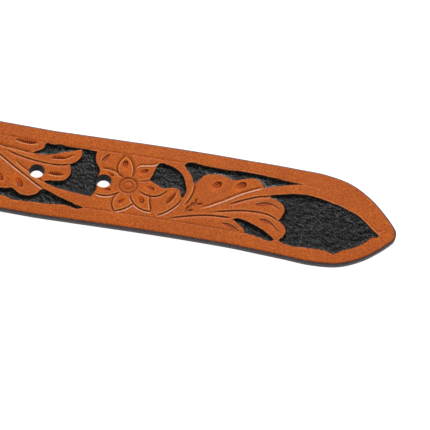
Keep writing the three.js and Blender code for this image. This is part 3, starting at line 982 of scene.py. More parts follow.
def undersideFaces(points, farLow, nearLow, x, lowRings):
    # Strips across the belt, and triangles where the holes are
    first = int(np.argmin(np.abs(x - (strap["firstHole"] + holeClear))))
    last = int(np.argmin(np.abs(x - (holeCentres()[-1][0] - holeClear))))
    faces = [
        (farLow[c], farLow[c + 1], nearLow[c + 1], nearLow[c])
        for c in range(len(x) - 1) if not first <= c < last
    ]
    ids, edges = [], []
    for ring in [[*farLow[first:last + 1], *nearLow[first:last + 1][::-1]], *lowRings]:
        start, size = len(ids), len(ring)
        edges += [(start + j, start + (j + 1) % size) for j in range(size)]
        ids += ring
    places = np.vstack(points.places)
    flat = [Vector(places[i][:2]) for i in ids]
    _, _, triangles, origins, _, _ = delaunay_2d_cdt(flat, edges, [], 1, 1e-5)
    for triangle in triangles:
        corners = [ids[origins[v][0]] for v in triangle]
        if not any(set(corners) <= set(ring) for ring in lowRings):
            faces.append(tuple(corners))
    return faces


def foldColumns():
    # Inner and outer side of the leather, column by column: along the upper layer to the bar, round it, and
    # along the folded layer to its free end; and how far the prong's slot opens there
    fold, slot, half = strap["foldLength"], strap["slotEnd"], strap["slotHalf"]
    step, endStep = strap["foldStep"], strap["foldEndStep"]
    turn = np.radians(np.linspace(0, 90, 7))
    slotPlaces = slot - half + half * np.cos(turn)
    slotWidths = half * np.sin(turn)

    upper = np.concatenate([np.arange(fold - step, slot + step / 2, -step), slotPlaces, [4.5, 2.6]])
    low = np.column_stack([upper, foldLift(upper)])
    slope = (foldLift(upper + 0.3) - foldLift(upper - 0.3)) / 0.6
    away = np.column_stack([-slope, np.ones(len(upper))])
    away /= np.linalg.norm(away, axis=1, keepdims=True)
    high = low + away * strap["thickness"]

    angles = np.radians(np.linspace(strap["eyeTop"], 270, 15))
    ray = np.column_stack([np.cos(angles), np.sin(angles)])
    thick = np.linspace(strap["thickness"], strap["foldThickness"], len(angles))[:, None]
    wrapLow = ray * strap["eyeRadius"] + (0, strap["barHeight"])
    wrapHigh = wrapLow + ray * thick

    pastSlot = np.arange(slot + endStep, fold - 0.4, endStep)
    lower = np.concatenate([[2.0, 4.2], slotPlaces[::-1], pastSlot, [fold]])
    skived = [strap["foldThickness"], strap["foldEndThickness"]]
    lowerLow = np.column_stack([lower, np.interp(lower, [fold - strap["skive"], fold], skived)])
    lowerHigh = np.column_stack([lower, np.zeros(len(lower))])

    openUpper, openLower = (np.interp(x, slotPlaces[::-1], slotWidths[::-1], half, 0) for x in (upper, lower))
    opening = np.concatenate([openUpper, np.full(len(angles), half), openLower])
    return np.vstack([low, wrapLow, lowerLow]), np.vstack([high, wrapHigh, lowerHigh]), opening


def foldColumn(points, inside, outside, gap, across, depth):
    # One column's points, which the slot parts in the middle where its half width, the gap, isn't 0
    middle = len(across) // 2
    halfWidth = strap["width"] / 2
    share = 1 - gap / halfWidth
    edges = np.array([halfWidth - (0 if level else sideTuck) for level in sideLevels])

    def row(y, level, side=0.0):
        spots = inside + np.asarray(level)[:, None] * (outside - inside)
        return points.add(np.column_stack([spots[:, 0] + strap["barPlace"], y, spots[:, 1]]), {"side": side})

    column = {
        "far": row(gap + across[:middle + 1] * share, depth[:middle + 1]),
        "near": row(-gap + across[middle + 1:] * share, depth[middle + 1:]),
        "farSide": row(edges, sideLevels, 1.0),
        "nearSide": row(-edges, sideLevels, 1.0),
    }
    if gap > 0:
        column["near"] = row([-gap], depth[middle:middle + 1]) + column["near"]
        column["slot"] = row([gap, -gap], [0, 0], 1.0)
    else:
        column["near"] = column["far"][-1:] + column["near"]
        column["slot"] = row([0.0], [0], 1.0) * 2
    return column


def foldFaces(points, last, across, rounding):
    # The fold round the buckle bar, carried on from the strap's last column
    depth = 1 - rounding / strap["thickness"]
    faces = []
    before = last
    for inside, outside, gap in zip(*foldColumns()):
        now = foldColumn(points, inside, outside, gap, across, depth)
        faces += bridge(before["far"], now["far"]) + bridge(before["near"], now["near"])
        for top, side in ((0, "far"), (-1, "near")):
            a, b = ([column[side][top], *column[side + "Side"]] for column in (before, now))
            faces += bridge(a, b)
        farLow = (before["farSide"][-1], now["farSide"][-1])
        nearLow = (now["nearSide"][-1], before["nearSide"][-1])
        a, b = before["slot"], now["slot"]
        if a is None:
            faces.append((*farLow, b[0], *nearLow))
        else:
            faces += [(*farLow, b[0], a[0]), (a[1], b[1], *nearLow)]
            if a[0] != a[1] or b[0] != b[1]:
                faces.append((before["far"][-1], now["far"][-1], b[0], a[0]))
                faces.append((before["near"][0], now["near"][0], b[1], a[1]))
        before = now
    faces.append((*now["far"], *now["near"][1:], *now["nearSide"], now["slot"][0], *now["farSide"][::-1]))
    return faces


def buildStrap():
    line, inward, fineCount = strapOutline()
    flat, keep = strapGrid(line, inward, fineCount)
    print("strap:", flat.shape[0], "columns,", flat.shape[1], "rows")
    tooledLength = -strap["barPlace"] - tooling["plainEnd"] + flower["at"][0]
    repeats = int(tooledLength // tooling["repeat"]) + 1
    parts = tooledParts(repeats)
    grid = snappedGrid(flat, keep, line, fineCount, parts)
    rims, inHole = bendRoundHoles(grid, flat, line, fineCount)
    use = keep & ~inHole

    print("strap: carving", len(parts["fields"]), "fields and", len(parts["cuts"]), "cuts")
    height, marks, rounding = strapRelief(grid, use, parts, repeats)
    spots = grid.reshape(-1, 2)
    top = np.column_stack([spots, liftAt(spots[:, 0]) + strap["thickness"] + height])
    used = use.ravel()
    points = LeatherPoints()
    number = np.full(use.shape, -1)
    number[use] = points.add(top[used], {key: values[used] for key, values in marks.items()})

    faces = topFaces(number, fineCount)
    sides, farRows, nearRows = sideFaces(points, number, line)
    walls, lowRings = holeFaces(points, number, grid, rims)
    topRow = number[-1, ::2]
    middle = len(topRow) // 2
    last = {
        "far": topRow[:middle + 1], "near": topRow[middle:], "farSide": [row[-1] for row in farRows[1:]],
        "nearSide": [row[-1] for row in nearRows[1:]], "slot": None,
    }
    faces += sides + walls + foldFaces(points, last, grid[-1, ::2, 1], rounding[-1, ::2])
    faces += undersideFaces(points, farRows[-1], nearRows[-1], line[:, 0], lowRings)

    verts = np.vstack(points.places) + (tipX, 0, 0)
    attributes = {key: np.concatenate(values) for key, values in points.marks.items()}
    piece = makeMesh("belt_strap", verts, [tuple(int(i) for i in face) for face in faces], attributes)
    print("strap:", sum(len(p.vertices) - 2 for p in piece.data.polygons), "triangles")
    return piece


# Keeper

keeper = {
    "fromBar": 31.0,
    "width": 12.0,
    "wall": 1.6,
    "innerHalf": 19.65,
    "innerLow": 3.9,
    "innerHigh": 11.8,
    "corner": 2.4,
    "dyedEdge": (0.35, 0.1),  # in from each edge, where its dye begins and is full
}


def buildKeeper():
    print("keeper: bending the loop")
    k = keeper
    half = k["innerHalf"] + k["wall"] / 2
    low, high = k["innerLow"] - k["wall"] / 2, k["innerHigh"] + k["wall"] / 2
    radius = k["corner"] - k["wall"] / 2
    corners = [(half, high), (-half, high), (-half, low), (half, low)]
    turns = np.radians(np.linspace(0, 90, 7))
    path = []
    for i, (y, z) in enumerate(corners):
        middle = np.array([y - math.copysign(radius, y), z - (radius if z == high else -radius)])
        angles = turns + i * math.pi / 2
        bend = middle + radius * np.column_stack([np.cos(angles), np.sin(angles)])
        run = np.array(corners[(i + 1) % 4]) - (y, z)
        length = np.linalg.norm(run)
        path += [*bend, *(bend[-1] + np.outer(np.arange(1, 12) / 12 * (length - 2 * radius), run / length))]
    x = tipX + strap["barPlace"] + k["fromBar"]
    section = roundedSection(k["wall"], k["width"], 0.3, 28)
    verts, faces = sweep([(x, y, z) for y, z in path], section, (1, 0, 0), closed=True)
    begins, full = (k["width"] / 2 - inset for inset in k["dyedEdge"])
    side = np.tile(easeStep(np.abs(section[:, 1]), begins, full), len(path))
    return makeMesh("belt_keeper", verts, faces, {"side": side})


# Buckle

buckle = {
    "innerWidth": 40.0,
    "reach": 34.0,  # from the bar to the inside of the toe
    "rail": 6.0,
    "toe": 7.0,
    "thickness": 4.0,
    "corner": 9.0,  # at the middle of the rail
    "heel": 3.5,
    # In from the end, and the share of the section there
    "heelRounding": [(0.0, 0.72), (0.15, 0.86), (0.5, 0.96), (1.0, 1.0)],
    "barRadius": 2.0,
    "prongWidth": 4.6,
    "prongTipWidth": 0.8,  # as a share of the width
    "prongThickness": 2.4,
    "prongTip": 1.5,
    # Share of the length, and the share of the section there
    "prongRounding": [(0.0, 1.0), (0.97, 1.0), (0.99, 0.85), (1.0, 0.5)],
    "prongSink": 0.1,
    "prongEye": 1.6,
    "prongPast": 6.0,
    "tilt": 3.28,  # degrees: the toe lies on the floor
}


def buckleFrame(b):
    # An open frame: from one heel along its rail, round the toe and back
    railY, toeX = (b["innerWidth"] + b["rail"]) / 2, -b["reach"] - b["toe"] / 2
    quarter = [
        (toeX + b["corner"] * (1 - math.sin(t)), railY - b["corner"] * (1 - math.cos(t)))
        for t in np.linspace(0, math.pi / 2, 14)
    ]
    heel = [b["heel"] - back for back, _ in b["heelRounding"]]
    rail = [(x, railY) for x in [*heel, *np.linspace(b["heel"] - 3, quarter[0][0] + 2, 10)]]
    toe = [(toeX, y) for y in np.linspace(quarter[-1][1] - 2, 0, 6)]
    half = rail + quarter + toe
    path = np.array(half + [(x, -y) for x, y in half[-2::-1]])
    rounding = [share for _, share in b["heelRounding"]]
    ends = rounding + [1.0] * (len(path) - 2 * len(rounding)) + rounding[::-1]
    swell = easeStep(-path[:, 0], -quarter[0][0], -toeX)
    sections = [
        roundedSection(b["rail"] + (b["toe"] - b["rail"]) * wider, b["thickness"], 0.5, 24) * end
        for wider, end in zip(swell, ends)
    ]
    frameBody = sweep(np.column_stack([path, np.zeros(len(path))]), np.array(sections), (0, 0, 1))
    barPath = [(0, y, 0) for y in np.linspace(-railY, railY, 24)]
    barSection = roundedSection(2 * b["barRadius"], 2 * b["barRadius"], 1.0, 20)
    return [frameBody, sweep(barPath, barSection, (0, 0, 1))]


def buckleProng(b):
    # A flat eye round the bar, and a shaft from its top to the toe
    eye = b["barRadius"] + b["prongEye"] / 2
    turns = np.linspace(0, 2 * math.pi, 32, endpoint=False)
    circle = [(eye * math.cos(t), 0, eye * math.sin(t)) for t in turns]
    ring = sweep(circle, roundedSection(b["prongEye"], b["prongWidth"], 0.4, 20), (0, 1, 0), closed=True)
    start = b["barRadius"] + b["prongEye"] - b["prongThickness"] / 2
    tip = b["thickness"] / 2 - b["prongSink"] + b["prongTip"] / 2
    along = np.concatenate([np.linspace(0, 1, 26)[:-1], [0.985, 0.995, 1.0]])
    reach = b["reach"] + b["prongPast"]
    shaft = [(-reach * t, 0, start + (tip - start) * t) for t in along]
    rounding = np.interp(along, *zip(*b["prongRounding"]))
    thick = np.interp(along, [0, 1], [b["prongThickness"], b["prongTip"]]) * rounding
    wide = np.interp(along, [0, 0.6, 1], [1, 1, b["prongTipWidth"]]) * b["prongWidth"] * rounding
    sections = np.array([roundedSection(t, w, 0.6, 20) for t, w in zip(thick, wide)])
    return [ring, sweep(shaft, sections, (0, 1, 0))]


def buildBuckle():
    print("buckle: sweeping the frame, bar and prong")
    verts, faces = joinParts(buckleFrame(buckle) + buckleProng(buckle))
    turn = math.radians(buckle["tilt"])
    x, z = verts[:, 0].copy(), verts[:, 2].copy()
    verts[:, 0] = tipX + strap["barPlace"] + x * math.cos(turn) - z * math.sin(turn)
    verts[:, 2] = strap["barHeight"] + x * math.sin(turn) + z * math.cos(turn)
    return makeMesh("belt_buckle", verts, faces)


# Stitches that hold the fold

stitches = {
    "rows": [16.5, 46.5],  # from the bar
    "pitch": 4.0,
    "length": 2.9,
    "thread": 0.7,
    "count": 9,
    "underHeight": 0.6,
    "rise": 0.22,
    "dip": 0.75,  # of each end into the leather
}


def buildStitches():
    s = stitches
    print("stitches:", len(s["rows"]), "rows above and below")
    parts = []
    section = roundedSection(s["thread"], s["thread"] * 0.8, 1.0, 8)
    for fromBar in s["rows"]:
        x = tipX + strap["barPlace"] + fromBar
        for i in range(s["count"]):
            y = (i - (s["count"] - 1) / 2) * s["pitch"]
            for z, bow in ((foldLift(fromBar) + strap["thickness"], 1), (s["underHeight"], -1)):
                path = [
                    (x, y + u * s["length"] / 2, z + bow * (s["rise"] - s["dip"] * abs(u) ** 3))
                    for u in np.linspace(-1, 1, 9)
                ]
                parts.append(sweep(path, section, (1, 0, 0)))
    verts, faces = joinParts(parts)
    return makeMesh("fold_stitches", verts, faces)


# Materials

def nodeMaterial(name):
    material = bpy.data.materials.new(name)
    material.use_nodes = True
    tree = material.node_tree
    return material, tree, tree.nodes["Principled BSDF"]


class Wiring:
    # Short ways to add and join shader nodes

    def __init__(self, tree):
        self.tree = tree

    def join(self, source, target):
        self.tree.links.new(source, target)

    def give(self, socket, value):
        # Another node's output is joined to the socket, and a number or a color is set on it
        if isinstance(value, bpy.types.NodeSocket):
            self.join(value, socket)
        elif isinstance(value, tuple) and len(socket.default_value) == 4:
            socket.default_value = (*value, 1)
        else:
            socket.default_value = value

    def node(self, kind, inputs=None, **settings):
        made = self.tree.nodes.new(kind)
        for key, value in settings.items():
            setattr(made, key, value)
        for key, value in (inputs or {}).items():
            self.give(made.inputs[key], value)
        return made

    def attribute(self, name):
        return self.node("ShaderNodeAttribute", attribute_name=name).outputs["Fac"]

    def place(self):
        return self.node("ShaderNodeTexCoord").outputs["Object"]

    def placeParts(self):
        parts = self.node("ShaderNodeSeparateXYZ", {"Vector": self.place()})
        return parts.outputs["X"], parts.outputs["Y"]

    def facingDown(self):
        normal = self.node("ShaderNodeTexCoord").outputs["Normal"]
        parts = self.node("ShaderNodeSeparateXYZ", {"Vector": normal})
        return self.ease(parts.outputs["Z"], -0.75, -0.95)

    def stretched(self, angle, along):
        # Place turned in plan and squeezed along its new first axis, which draws a pattern out along it
        rotation = (0, 0, math.radians(-angle))
        turned = self.node("ShaderNodeMapping", {"Vector": self.place(), "Rotation": rotation})
        inputs = {"Vector": turned.outputs["Vector"], "Scale": (along, 1, 1)}
        return self.node("ShaderNodeMapping", inputs).outputs["Vector"]

    def noise(self, scale, detail=3, rough=0.55, at=None):
        inputs = {"Scale": scale, "Detail": detail, "Roughness": rough, "Vector": at or self.place()}
        return self.node("ShaderNodeTexNoise", inputs).outputs["Fac"]

    def cells(self, scale, feature="F1"):
        inputs = {"Scale": scale, "Vector": self.place()}
        return self.node("ShaderNodeTexVoronoi", feature=feature, inputs=inputs).outputs["Distance"]

    def spread(self, value, fromLow, fromHigh, low=0.0, high=1.0):
        inputs = {"Value": value, "From Min": fromLow, "From Max": fromHigh, "To Min": low, "To Max": high}
        return self.node("ShaderNodeMapRange", inputs).outputs["Result"]

    def ease(self, value, zeroAt, oneAt):
        inputs = {"Value": value, "From Min": zeroAt, "From Max": oneAt}
        return self.node("ShaderNodeMapRange", inputs, interpolation_type="SMOOTHSTEP").outputs["Result"]

    def fade(self, value, name):
        return self.ease(value, *fades[name])

    def band(self, value, name):
        begins, full, fullTo, ends = bands[name]
        return self.product(self.ease(value, begins, full), self.ease(value, ends, fullTo))

    def math(self, how, a, b=0.0):
        return self.node("ShaderNodeMath", {0: a, 1: b}, operation=how).outputs[0]

    def product(self, *factors):
        result = factors[0]
        for factor in factors[1:]:
            result = self.math("MULTIPLY", result, factor)
        return result

    def mix(self, share, a, b):
        inputs = {"Factor": share, "A": a, "B": b}
        return self.node("ShaderNodeMix", inputs, data_type="RGBA").outputs["Result"]

    def bump(self, height, distance, strength):
        inputs = {"Height": height, "Distance": distance, "Strength": strength}
        return self.node("ShaderNodeBump", inputs).outputs["Normal"]


leather = {
    "tan": (0.480, 0.092, 0.008),
    "tanLight": (0.69, 0.170, 0.016),
    "tanDark": (0.31, 0.051, 0.006),
    "gold": (0.33, 0.070, 0.005),  # dye that gathers in low places
    "cut": (0.115, 0.013, 0.001),
    "glow": (0.60, 0.122, 0.001),  # bright orange round cuts and seeds
    "seed": (0.53, 0.078, 0.0005),
    "seedDark": (0.060, 0.006, 0.001),
    # Painted highlight on slopes that face the far lamp
    "pale": (0.62, 0.30, 0.17),
    # Painted highlight on raised edges beside fields, cuts and veins
    "lip": (0.70, 0.26, 0.08),
    "dye": (0.0020, 0.0020, 0.0023),
    "dyeLight": (0.125, 0.122, 0.126),
    "fleck": (0.3, 0.22, 0.17),
    # Painted glints in the black ground, along walls that face the far lamp
    "paintedGlint": (0.23, 0.22, 0.22),
    "side": (0.078, 0.066, 0.072),
    "sideDark": (0.040, 0.034, 0.040),
    # Hole walls: the edge dye, darkened further as painted shade inside the hole
    "holeDyeAndShade": (0.0035, 0.0025, 0.0032),
    "flesh": (0.40, 0.22, 0.12),  # underside
    "fleshDark": (0.25, 0.13, 0.065),
}
# Textures: how fine each is
grains = {
    "specks": 1900,
    "clouds": 75,
    "raggedEdge": 1100,
    "wobble": 600,
    "pebble": 1500,
    "fibre": 860,
    "blotch": 420,
    "glintPatches": 150,
    "glintGrain": 1500,
    "flecks": 1500,
    "wornTip": 900,
    "side": 1300,
    "flesh": 900,
    "sheen": 700,
    "pores": 2400,
    "creases": 1100,
}
# Fades: the millimetres from a line, or the share of a mark, where a tint begins and where it is full
fades = {
    "glow": (2.0, 0.5),
    "slope": (1.2, 0.2),
    "cut": (0.36, 0.1),
    "veinGlow": (2.2, 0.8),
    "veinShown": (0.05, 0.4),
    "comb": (-0.3, 0.6),
    "teeth": (0.3, -0.2),
    "teethShown": (0.3, 0.6),
    "vein": (0.42, 0.14),
    "seed": (1.08, 0.82),
    "seedGlow": (1.8, 1.05),
    "ribs": (-0.1, 0.7),
    "ribsAlong": (-0.9, 0.2),
    "seedRim": (0.5, 0.8),
    "seedHead": (0.0, 0.55),
    "ring": (0.4, 0.08),
    "border": (0.15, 0.85),
    "dye": (0.06, -0.06),
    "wallFootShade": (-0.75, -0.2),
    "nearBorder": (-0.009, -0.0125),
    "glintSide": (0.003, 0.006),
}
# Bands beside a line: where a tint begins, is full, is full no more, and ends
bands = {
    # Painted shade line just past the painted highlight of a cut
    "under": (0.95, 1.12, 1.25, 1.5),
    # Painted highlights on raised edges over fields and along cuts
    "lip": (0.08, 0.2, 0.4, 0.75),
    "bright": (0.25, 0.45, 0.6, 0.95),
    # Painted highlight beside a vein
    "overVein": (0.25, 0.4, 0.6, 0.95),
    # Painted glints in the black ground
    "paintedGlint": (-0.05, -0.35, -0.7, -1.3),
}
strengths = {
    "tan": 0.64,
    "clouds": 0.3,
    "glow": 0.4,
    "slope": 0.6,
    "under": 0.55,
    "lip": 0.45,
    "bright": 0.6,
    "veinGlow": 0.4,
    "teeth": 0.95,
    "comb": 0.9,
    "overVein": 0.55,
    "vein": 0.9,
    "seedGlow": 0.6,
    "ribs": 0.95,
    "disc": 0.25,
    "discRing": 0.6,
    "buttonRing": 0.4,
    "button": 0.4,
    "border": 0.35,
    "wallFootShade": 0.6,
    "paintedGlint": 0.8,
    "flecks": 0.6,
    "wornTip": 0.8,
    "dyedSheen": 0.14,
    "bump": 0.9,
}
toothPitch = 0.78
ribsPerSeed = 10.5
grainDepth = 0.00012  # metres


def speckledTan(w):
    # Fine light and dark specks over slow clouds
    specks = w.spread(w.noise(grains["specks"], 2, 0.6), 0.4, 0.62)
    tan = w.mix(specks, leather["tanDark"], leather["tanLight"])
    tan = w.mix(strengths["tan"], leather["tan"], tan)
    clouds = w.spread(w.noise(grains["clouds"], 3, 0.5), 0.35, 0.7, 0.0, strengths["clouds"])
    return w.mix(clouds, tan, leather["tanDark"])


def leatherGrain(w, rough=0.55):
    pores = w.math("MULTIPLY", w.noise(grains["pores"], 3, 0.6), 0.5)
    return w.math("ADD", pores, w.math("MULTIPLY", w.noise(grains["creases"], 3, rough), 0.6))


def cutTints(w, mark, tan):
    # A burnt line, gold where the leather slopes to it, and painted light: a highlight on the slope that
    # faces the far lamp, a shade line past it, and highlights on raised edges
    away, power = mark["away"], mark["cutPower"]
    sloping = w.math("ADD", w.math("MULTIPLY", mark["slope"], 0.75), 0.25)
    tan = w.mix(w.product(power, w.fade(away, "glow"), strengths["glow"]), tan, leather["glow"])
    tan = w.mix(w.product(power, w.fade(away, "slope"), sloping, strengths["slope"]), tan, leather["gold"])
    wobble = w.spread(w.noise(grains["wobble"], 2), 0.3, 0.7, 0.55, 1.15)
    # Painted highlight on the slope that faces the far lamp
    narrowed = w.math("SUBTRACT", away, w.product(mark["pale"], 0.6))
    pale = w.product(w.ease(away, 0.16, 0.36), w.ease(narrowed, 0.5, 0.25), mark["pale"], wobble)
    tan = w.mix(pale, tan, leather["pale"])
    # Painted shade: a dark line just past that painted highlight
    under = w.product(w.band(away, "under"), mark["pale"], strengths["under"])
    tan = w.mix(under, tan, leather["cut"])
    # Painted highlight on the raised edge over a field that faces the viewer
    lip = w.product(w.band(mark["field"], "lip"), mark["lip"], wobble, strengths["lip"])
    tan = w.mix(lip, tan, leather["lip"])
    # Painted highlight along the cut's raised edge, on its steep side
    level = w.math("SUBTRACT", 1.0, mark["slope"])
    tan = w.mix(w.product(w.band(away, "bright"), power, level, strengths["bright"]), tan, leather["lip"])
    return w.mix(w.product(w.fade(away, "cut"), power), tan, leather["cut"])


def veinTints(w, mark, tan):
    # A painted highlight along the side away from the teeth, a dark line, and dark teeth below it
    away, power = mark["veinAway"], mark["veinPower"]
    shown = w.fade(power, "veinShown")
    comb = w.fade(w.math("SINE", w.math("MULTIPLY", mark["veinAlong"], 2 * math.pi / toothPitch)), "comb")
    reach = w.math("ADD", w.math("MULTIPLY", power, 1.3), 0.05)
    teeth = w.product(w.fade(w.math("SUBTRACT", away, reach), "teeth"), mark["veinTeeth"],
                      w.fade(power, "teethShown"))
    glow = w.product(w.fade(away, "veinGlow"), mark["veinTeeth"], shown, strengths["veinGlow"])
    tan = w.mix(glow, tan, leather["glow"])
    tan = w.mix(w.product(teeth, strengths["teeth"]), tan, leather["seed"])
    teeth = w.product(teeth, comb)
    tan = w.mix(w.product(teeth, strengths["comb"]), tan, leather["seedDark"])
    # Painted highlight along the vein's side away from the teeth
    over = w.product(w.band(away, "overVein"), shown, w.math("SUBTRACT", 1.0, mark["veinTeeth"]),
                     strengths["overVein"])
    tan = w.mix(over, tan, leather["lip"])
    return w.mix(w.product(w.fade(away, "vein"), shown, strengths["vein"]), tan, leather["cut"]), teeth


def seedTints(w, mark, tan):
    # Orange-red dimples with dark ribs that fade towards the root
    seed = w.fade(mark["seedRim"], "seed")
    tan = w.mix(w.product(w.fade(mark["seedRim"], "seedGlow"), strengths["seedGlow"]), tan, leather["glow"])
    tan = w.mix(w.product(seed, w.spread(mark["seedAlong"], -1, 0.2, 0.75, 1.0)), tan, leather["seed"])
    ribs = w.fade(w.math("SINE", w.math("MULTIPLY", mark["seedAcross"], ribsPerSeed)), "ribs")
    ribs = w.product(ribs, seed, w.fade(mark["seedAlong"], "ribsAlong"))
    outline = w.product(w.fade(mark["seedRim"], "seedRim"), seed, w.fade(mark["seedAlong"], "seedHead"))
    dark = w.product(w.math("MAXIMUM", ribs, outline), strengths["ribs"])
    return w.mix(dark, tan, leather["seedDark"]), ribs


def flowerTints(w, mark, tan):
    disc = w.ease(mark["ring"], flower["disc"] + 0.3, flower["disc"])
    tan = w.mix(w.product(disc, strengths["disc"]), tan, leather["gold"])
    for part in ("disc", "button"):
        away = w.math("ABSOLUTE", w.math("SUBTRACT", mark["ring"], flower[part]))
        tan = w.mix(w.product(w.fade(away, "ring"), strengths[part + "Ring"]), tan, leather["cut"])
    button = w.ease(mark["ring"], flower["button"], flower["button"] - 0.5)
    return w.mix(w.product(button, strengths["button"]), tan, leather["seed"])


def dyedGround(w, mark, edge, across):
    # Black dye, stamped all over, with painted shade at the foot of its walls and painted glints beside walls
    # that face the far lamp; returns its color and its relief
    pebble = w.cells(grains["pebble"], "SMOOTH_F1")
    fibre = w.noise(grains["fibre"], 3, 0.75, w.stretched(tooling["stampSlant"], 0.55))
    black = w.mix(w.spread(pebble, 0.08, 0.5), leather["dyeLight"], leather["dye"])
    black = w.mix(w.spread(fibre, 0.6, 0.5, 0.0, 0.99), black, leather["dye"])
    black = w.mix(w.spread(w.noise(grains["blotch"], 3, 0.6), 0.4, 0.65, 0.0, 0.55), black, leather["dye"])
    # Painted shade: the ground turns to plain dye at the foot of its walls
    black = w.mix(w.product(w.fade(edge, "wallFootShade"), strengths["wallFootShade"]), black, leather["dye"])
    # Painted glints where the ground rises to a wall that faces the far lamp, on the far half only
    paintedGlint = w.product(
        w.band(edge, "paintedGlint"), mark["lip"],
        w.spread(w.noise(grains["glintPatches"], 2, 0.5), 0.5, 0.58),
        w.spread(w.noise(grains["glintGrain"], 3, 0.6), 0.35, 0.6),
        w.fade(across, "glintSide"), strengths["paintedGlint"],
    )
    black = w.mix(paintedGlint, black, leather["paintedGlint"])
    flecks = w.spread(w.noise(grains["flecks"], 1, 0.3), 0.735, 0.78)
    black = w.mix(w.product(flecks, strengths["flecks"]), black, leather["fleck"])
    return black, w.math("SUBTRACT", w.product(fibre, 5.5), pebble)


def strapMaterial():
    material, tree, shader = nodeMaterial("tooled_leather")
    w = Wiring(tree)
    mark = {key: w.attribute(key) for key in markFar}
    along, across = w.placeParts()

    # Tooled face: tinted tan with a line beside the plain border, and black ground with a ragged edge
    tan = cutTints(w, mark, speckledTan(w))
    tan, teeth = veinTints(w, mark, tan)
    tan, ribs = seedTints(w, mark, tan)
    tan = flowerTints(w, mark, tan)
    tan = w.mix(w.product(w.fade(mark["border"], "border"), strengths["border"]), tan, leather["cut"])
    ragged = w.product(
        w.spread(w.noise(grains["raggedEdge"], 2, 0.6), 0.3, 0.7, -0.28, 0.28),
        w.math("ADD", w.product(w.fade(across, "nearBorder"), 0.8), 0.2),
    )
    edge = w.math("ADD", mark["field"], ragged)
    dyed = w.fade(edge, "dye")
    black, stamped = dyedGround(w, mark, edge, across)
    color = w.mix(dyed, tan, black)

    # Worn tip, dyed side, hole walls darkened past the dye as painted shade, and bare underside
    worn = w.product(w.ease(along, (tipX - 3) * mm, (tipX - 1) * mm),
                     w.spread(w.noise(grains["wornTip"], 3, 0.6), 0.5, 0.56), strengths["wornTip"])
    color = w.mix(worn, color, leather["sideDark"])
    onSide = w.spread(mark["side"], 0, 1)
    speckled = w.spread(w.noise(grains["side"], 3, 0.7), 0.4, 0.62)
    color = w.mix(onSide, color, w.mix(speckled, leather["side"], leather["sideDark"]))
    # Hole walls darker than the edge dye: painted shade
    color = w.mix(w.spread(mark["side"], 1, 2), color, leather["holeDyeAndShade"])
    underside = w.product(w.facingDown(), onSide)
    bare = w.mix(w.noise(grains["flesh"], 4, 0.7), leather["flesh"], leather["fleshDark"])
    w.join(w.mix(underside, color, bare), shader.inputs["Base Color"])

    dark = w.product(w.math("MAXIMUM", dyed, onSide), w.math("SUBTRACT", 1.0, underside))
    sheen = w.spread(w.noise(grains["sheen"], 2), 0.3, 0.7, 0.46, 0.6)
    w.join(w.math("SUBTRACT", sheen, w.product(dark, strengths["dyedSheen"])), shader.inputs["Roughness"])
    shader.inputs["Specular IOR Level"].default_value = 0.1
    grain = w.product(leatherGrain(w), w.math("SUBTRACT", 1.0, dyed))
    grain = w.math("ADD", grain, w.product(w.math("MAXIMUM", ribs, teeth), -1.2))
    grain = w.math("ADD", grain, w.product(stamped, dyed))
    w.join(w.bump(grain, grainDepth, strengths["bump"]), shader.inputs["Normal"])
    return material


def keeperMaterial():
    material, tree, shader = nodeMaterial("plain_leather")
    w = Wiring(tree)
    w.join(w.mix(w.attribute("side"), speckledTan(w), leather["side"]), shader.inputs["Base Color"])
    shader.inputs["Roughness"].default_value = 0.5
    shader.inputs["Specular IOR Level"].default_value = 0.3
    w.join(w.bump(leatherGrain(w, 0.65), grainDepth, strengths["bump"]), shader.inputs["Normal"])
    return material


steel = {"color": (0.62, 0.60, 0.57), "wornShare": 0.8, "rough": (0.24, 0.4), "scratch": 0.00002}


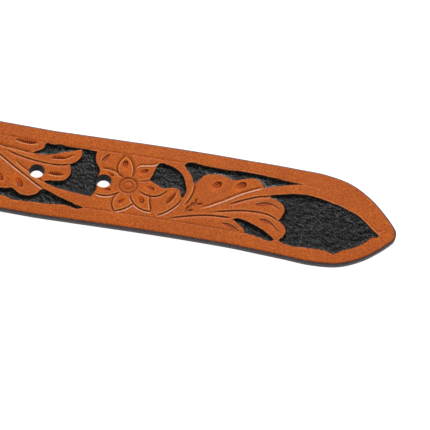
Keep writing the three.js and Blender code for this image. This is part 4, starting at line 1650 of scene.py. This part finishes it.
def steelMaterial():
    material, tree, shader = nodeMaterial("brushed_steel")
    w = Wiring(tree)
    shader.inputs["Metallic"].default_value = 1.0
    wear = w.noise(160, 4, 0.6)
    worn = tuple(steel["wornShare"] * c for c in steel["color"])
    w.join(w.mix(w.spread(wear, 0.3, 0.7), steel["color"], worn), shader.inputs["Base Color"])
    w.join(w.spread(wear, 0.3, 0.7, *steel["rough"]), shader.inputs["Roughness"])
    w.join(w.bump(w.noise(1800, 2, 0.5), steel["scratch"], 0.6), shader.inputs["Normal"])
    return material


thread = {"color": (0.32, 0.13, 0.045), "darkShare": 0.6, "twist": 3500, "twistDepth": 0.00006}


def threadMaterial():
    material, tree, shader = nodeMaterial("waxed_thread")
    w = Wiring(tree)
    twist = w.noise(thread["twist"], 2, 0.5)
    dark = tuple(thread["darkShare"] * c for c in thread["color"])
    w.join(w.mix(twist, thread["color"], dark), shader.inputs["Base Color"])
    shader.inputs["Roughness"].default_value = 0.55
    w.join(w.bump(twist, thread["twistDepth"], 0.8), shader.inputs["Normal"])
    return material


floorSettings = {"half": 3000.0, "under": 0.05, "color": (0.3, 0.3, 0.3)}


def makeFloor():
    half, z = floorSettings["half"], -floorSettings["under"]
    corners = [(-half, -half, z), (half, -half, z), (half, half, z), (-half, half, z)]
    floor = makeMesh("floor", corners, [(0, 1, 2, 3)])
    material, tree, shader = nodeMaterial("pale_floor")
    shader.inputs["Base Color"].default_value = (*floorSettings["color"], 1)
    shader.inputs["Roughness"].default_value = 0.9
    shader.inputs["Emission Color"].default_value = (1, 1, 1, 1)
    shader.inputs["Emission Strength"].default_value = lightSettings["floorGlow"]
    floor.data.materials.append(material)


makeCamera(cameraSettings)
makeWorld(lightSettings["world"])
for name, panel in lightPanels.items():
    makeLight(name, **panel)
makeFloor()

beltStrap = buildStrap()
beltStrap.data.materials.append(strapMaterial())
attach(beltStrap, "root")
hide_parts("strap")

beltKeeper = buildKeeper()
beltKeeper.data.materials.append(keeperMaterial())
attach(beltKeeper, "root")
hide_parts("keeper")

beltBuckle = buildBuckle()
beltBuckle.data.materials.append(steelMaterial())
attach(beltBuckle, "root")
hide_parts("buckle")

foldStitches = buildStitches()
foldStitches.data.materials.append(threadMaterial())
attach(foldStitches, "root")
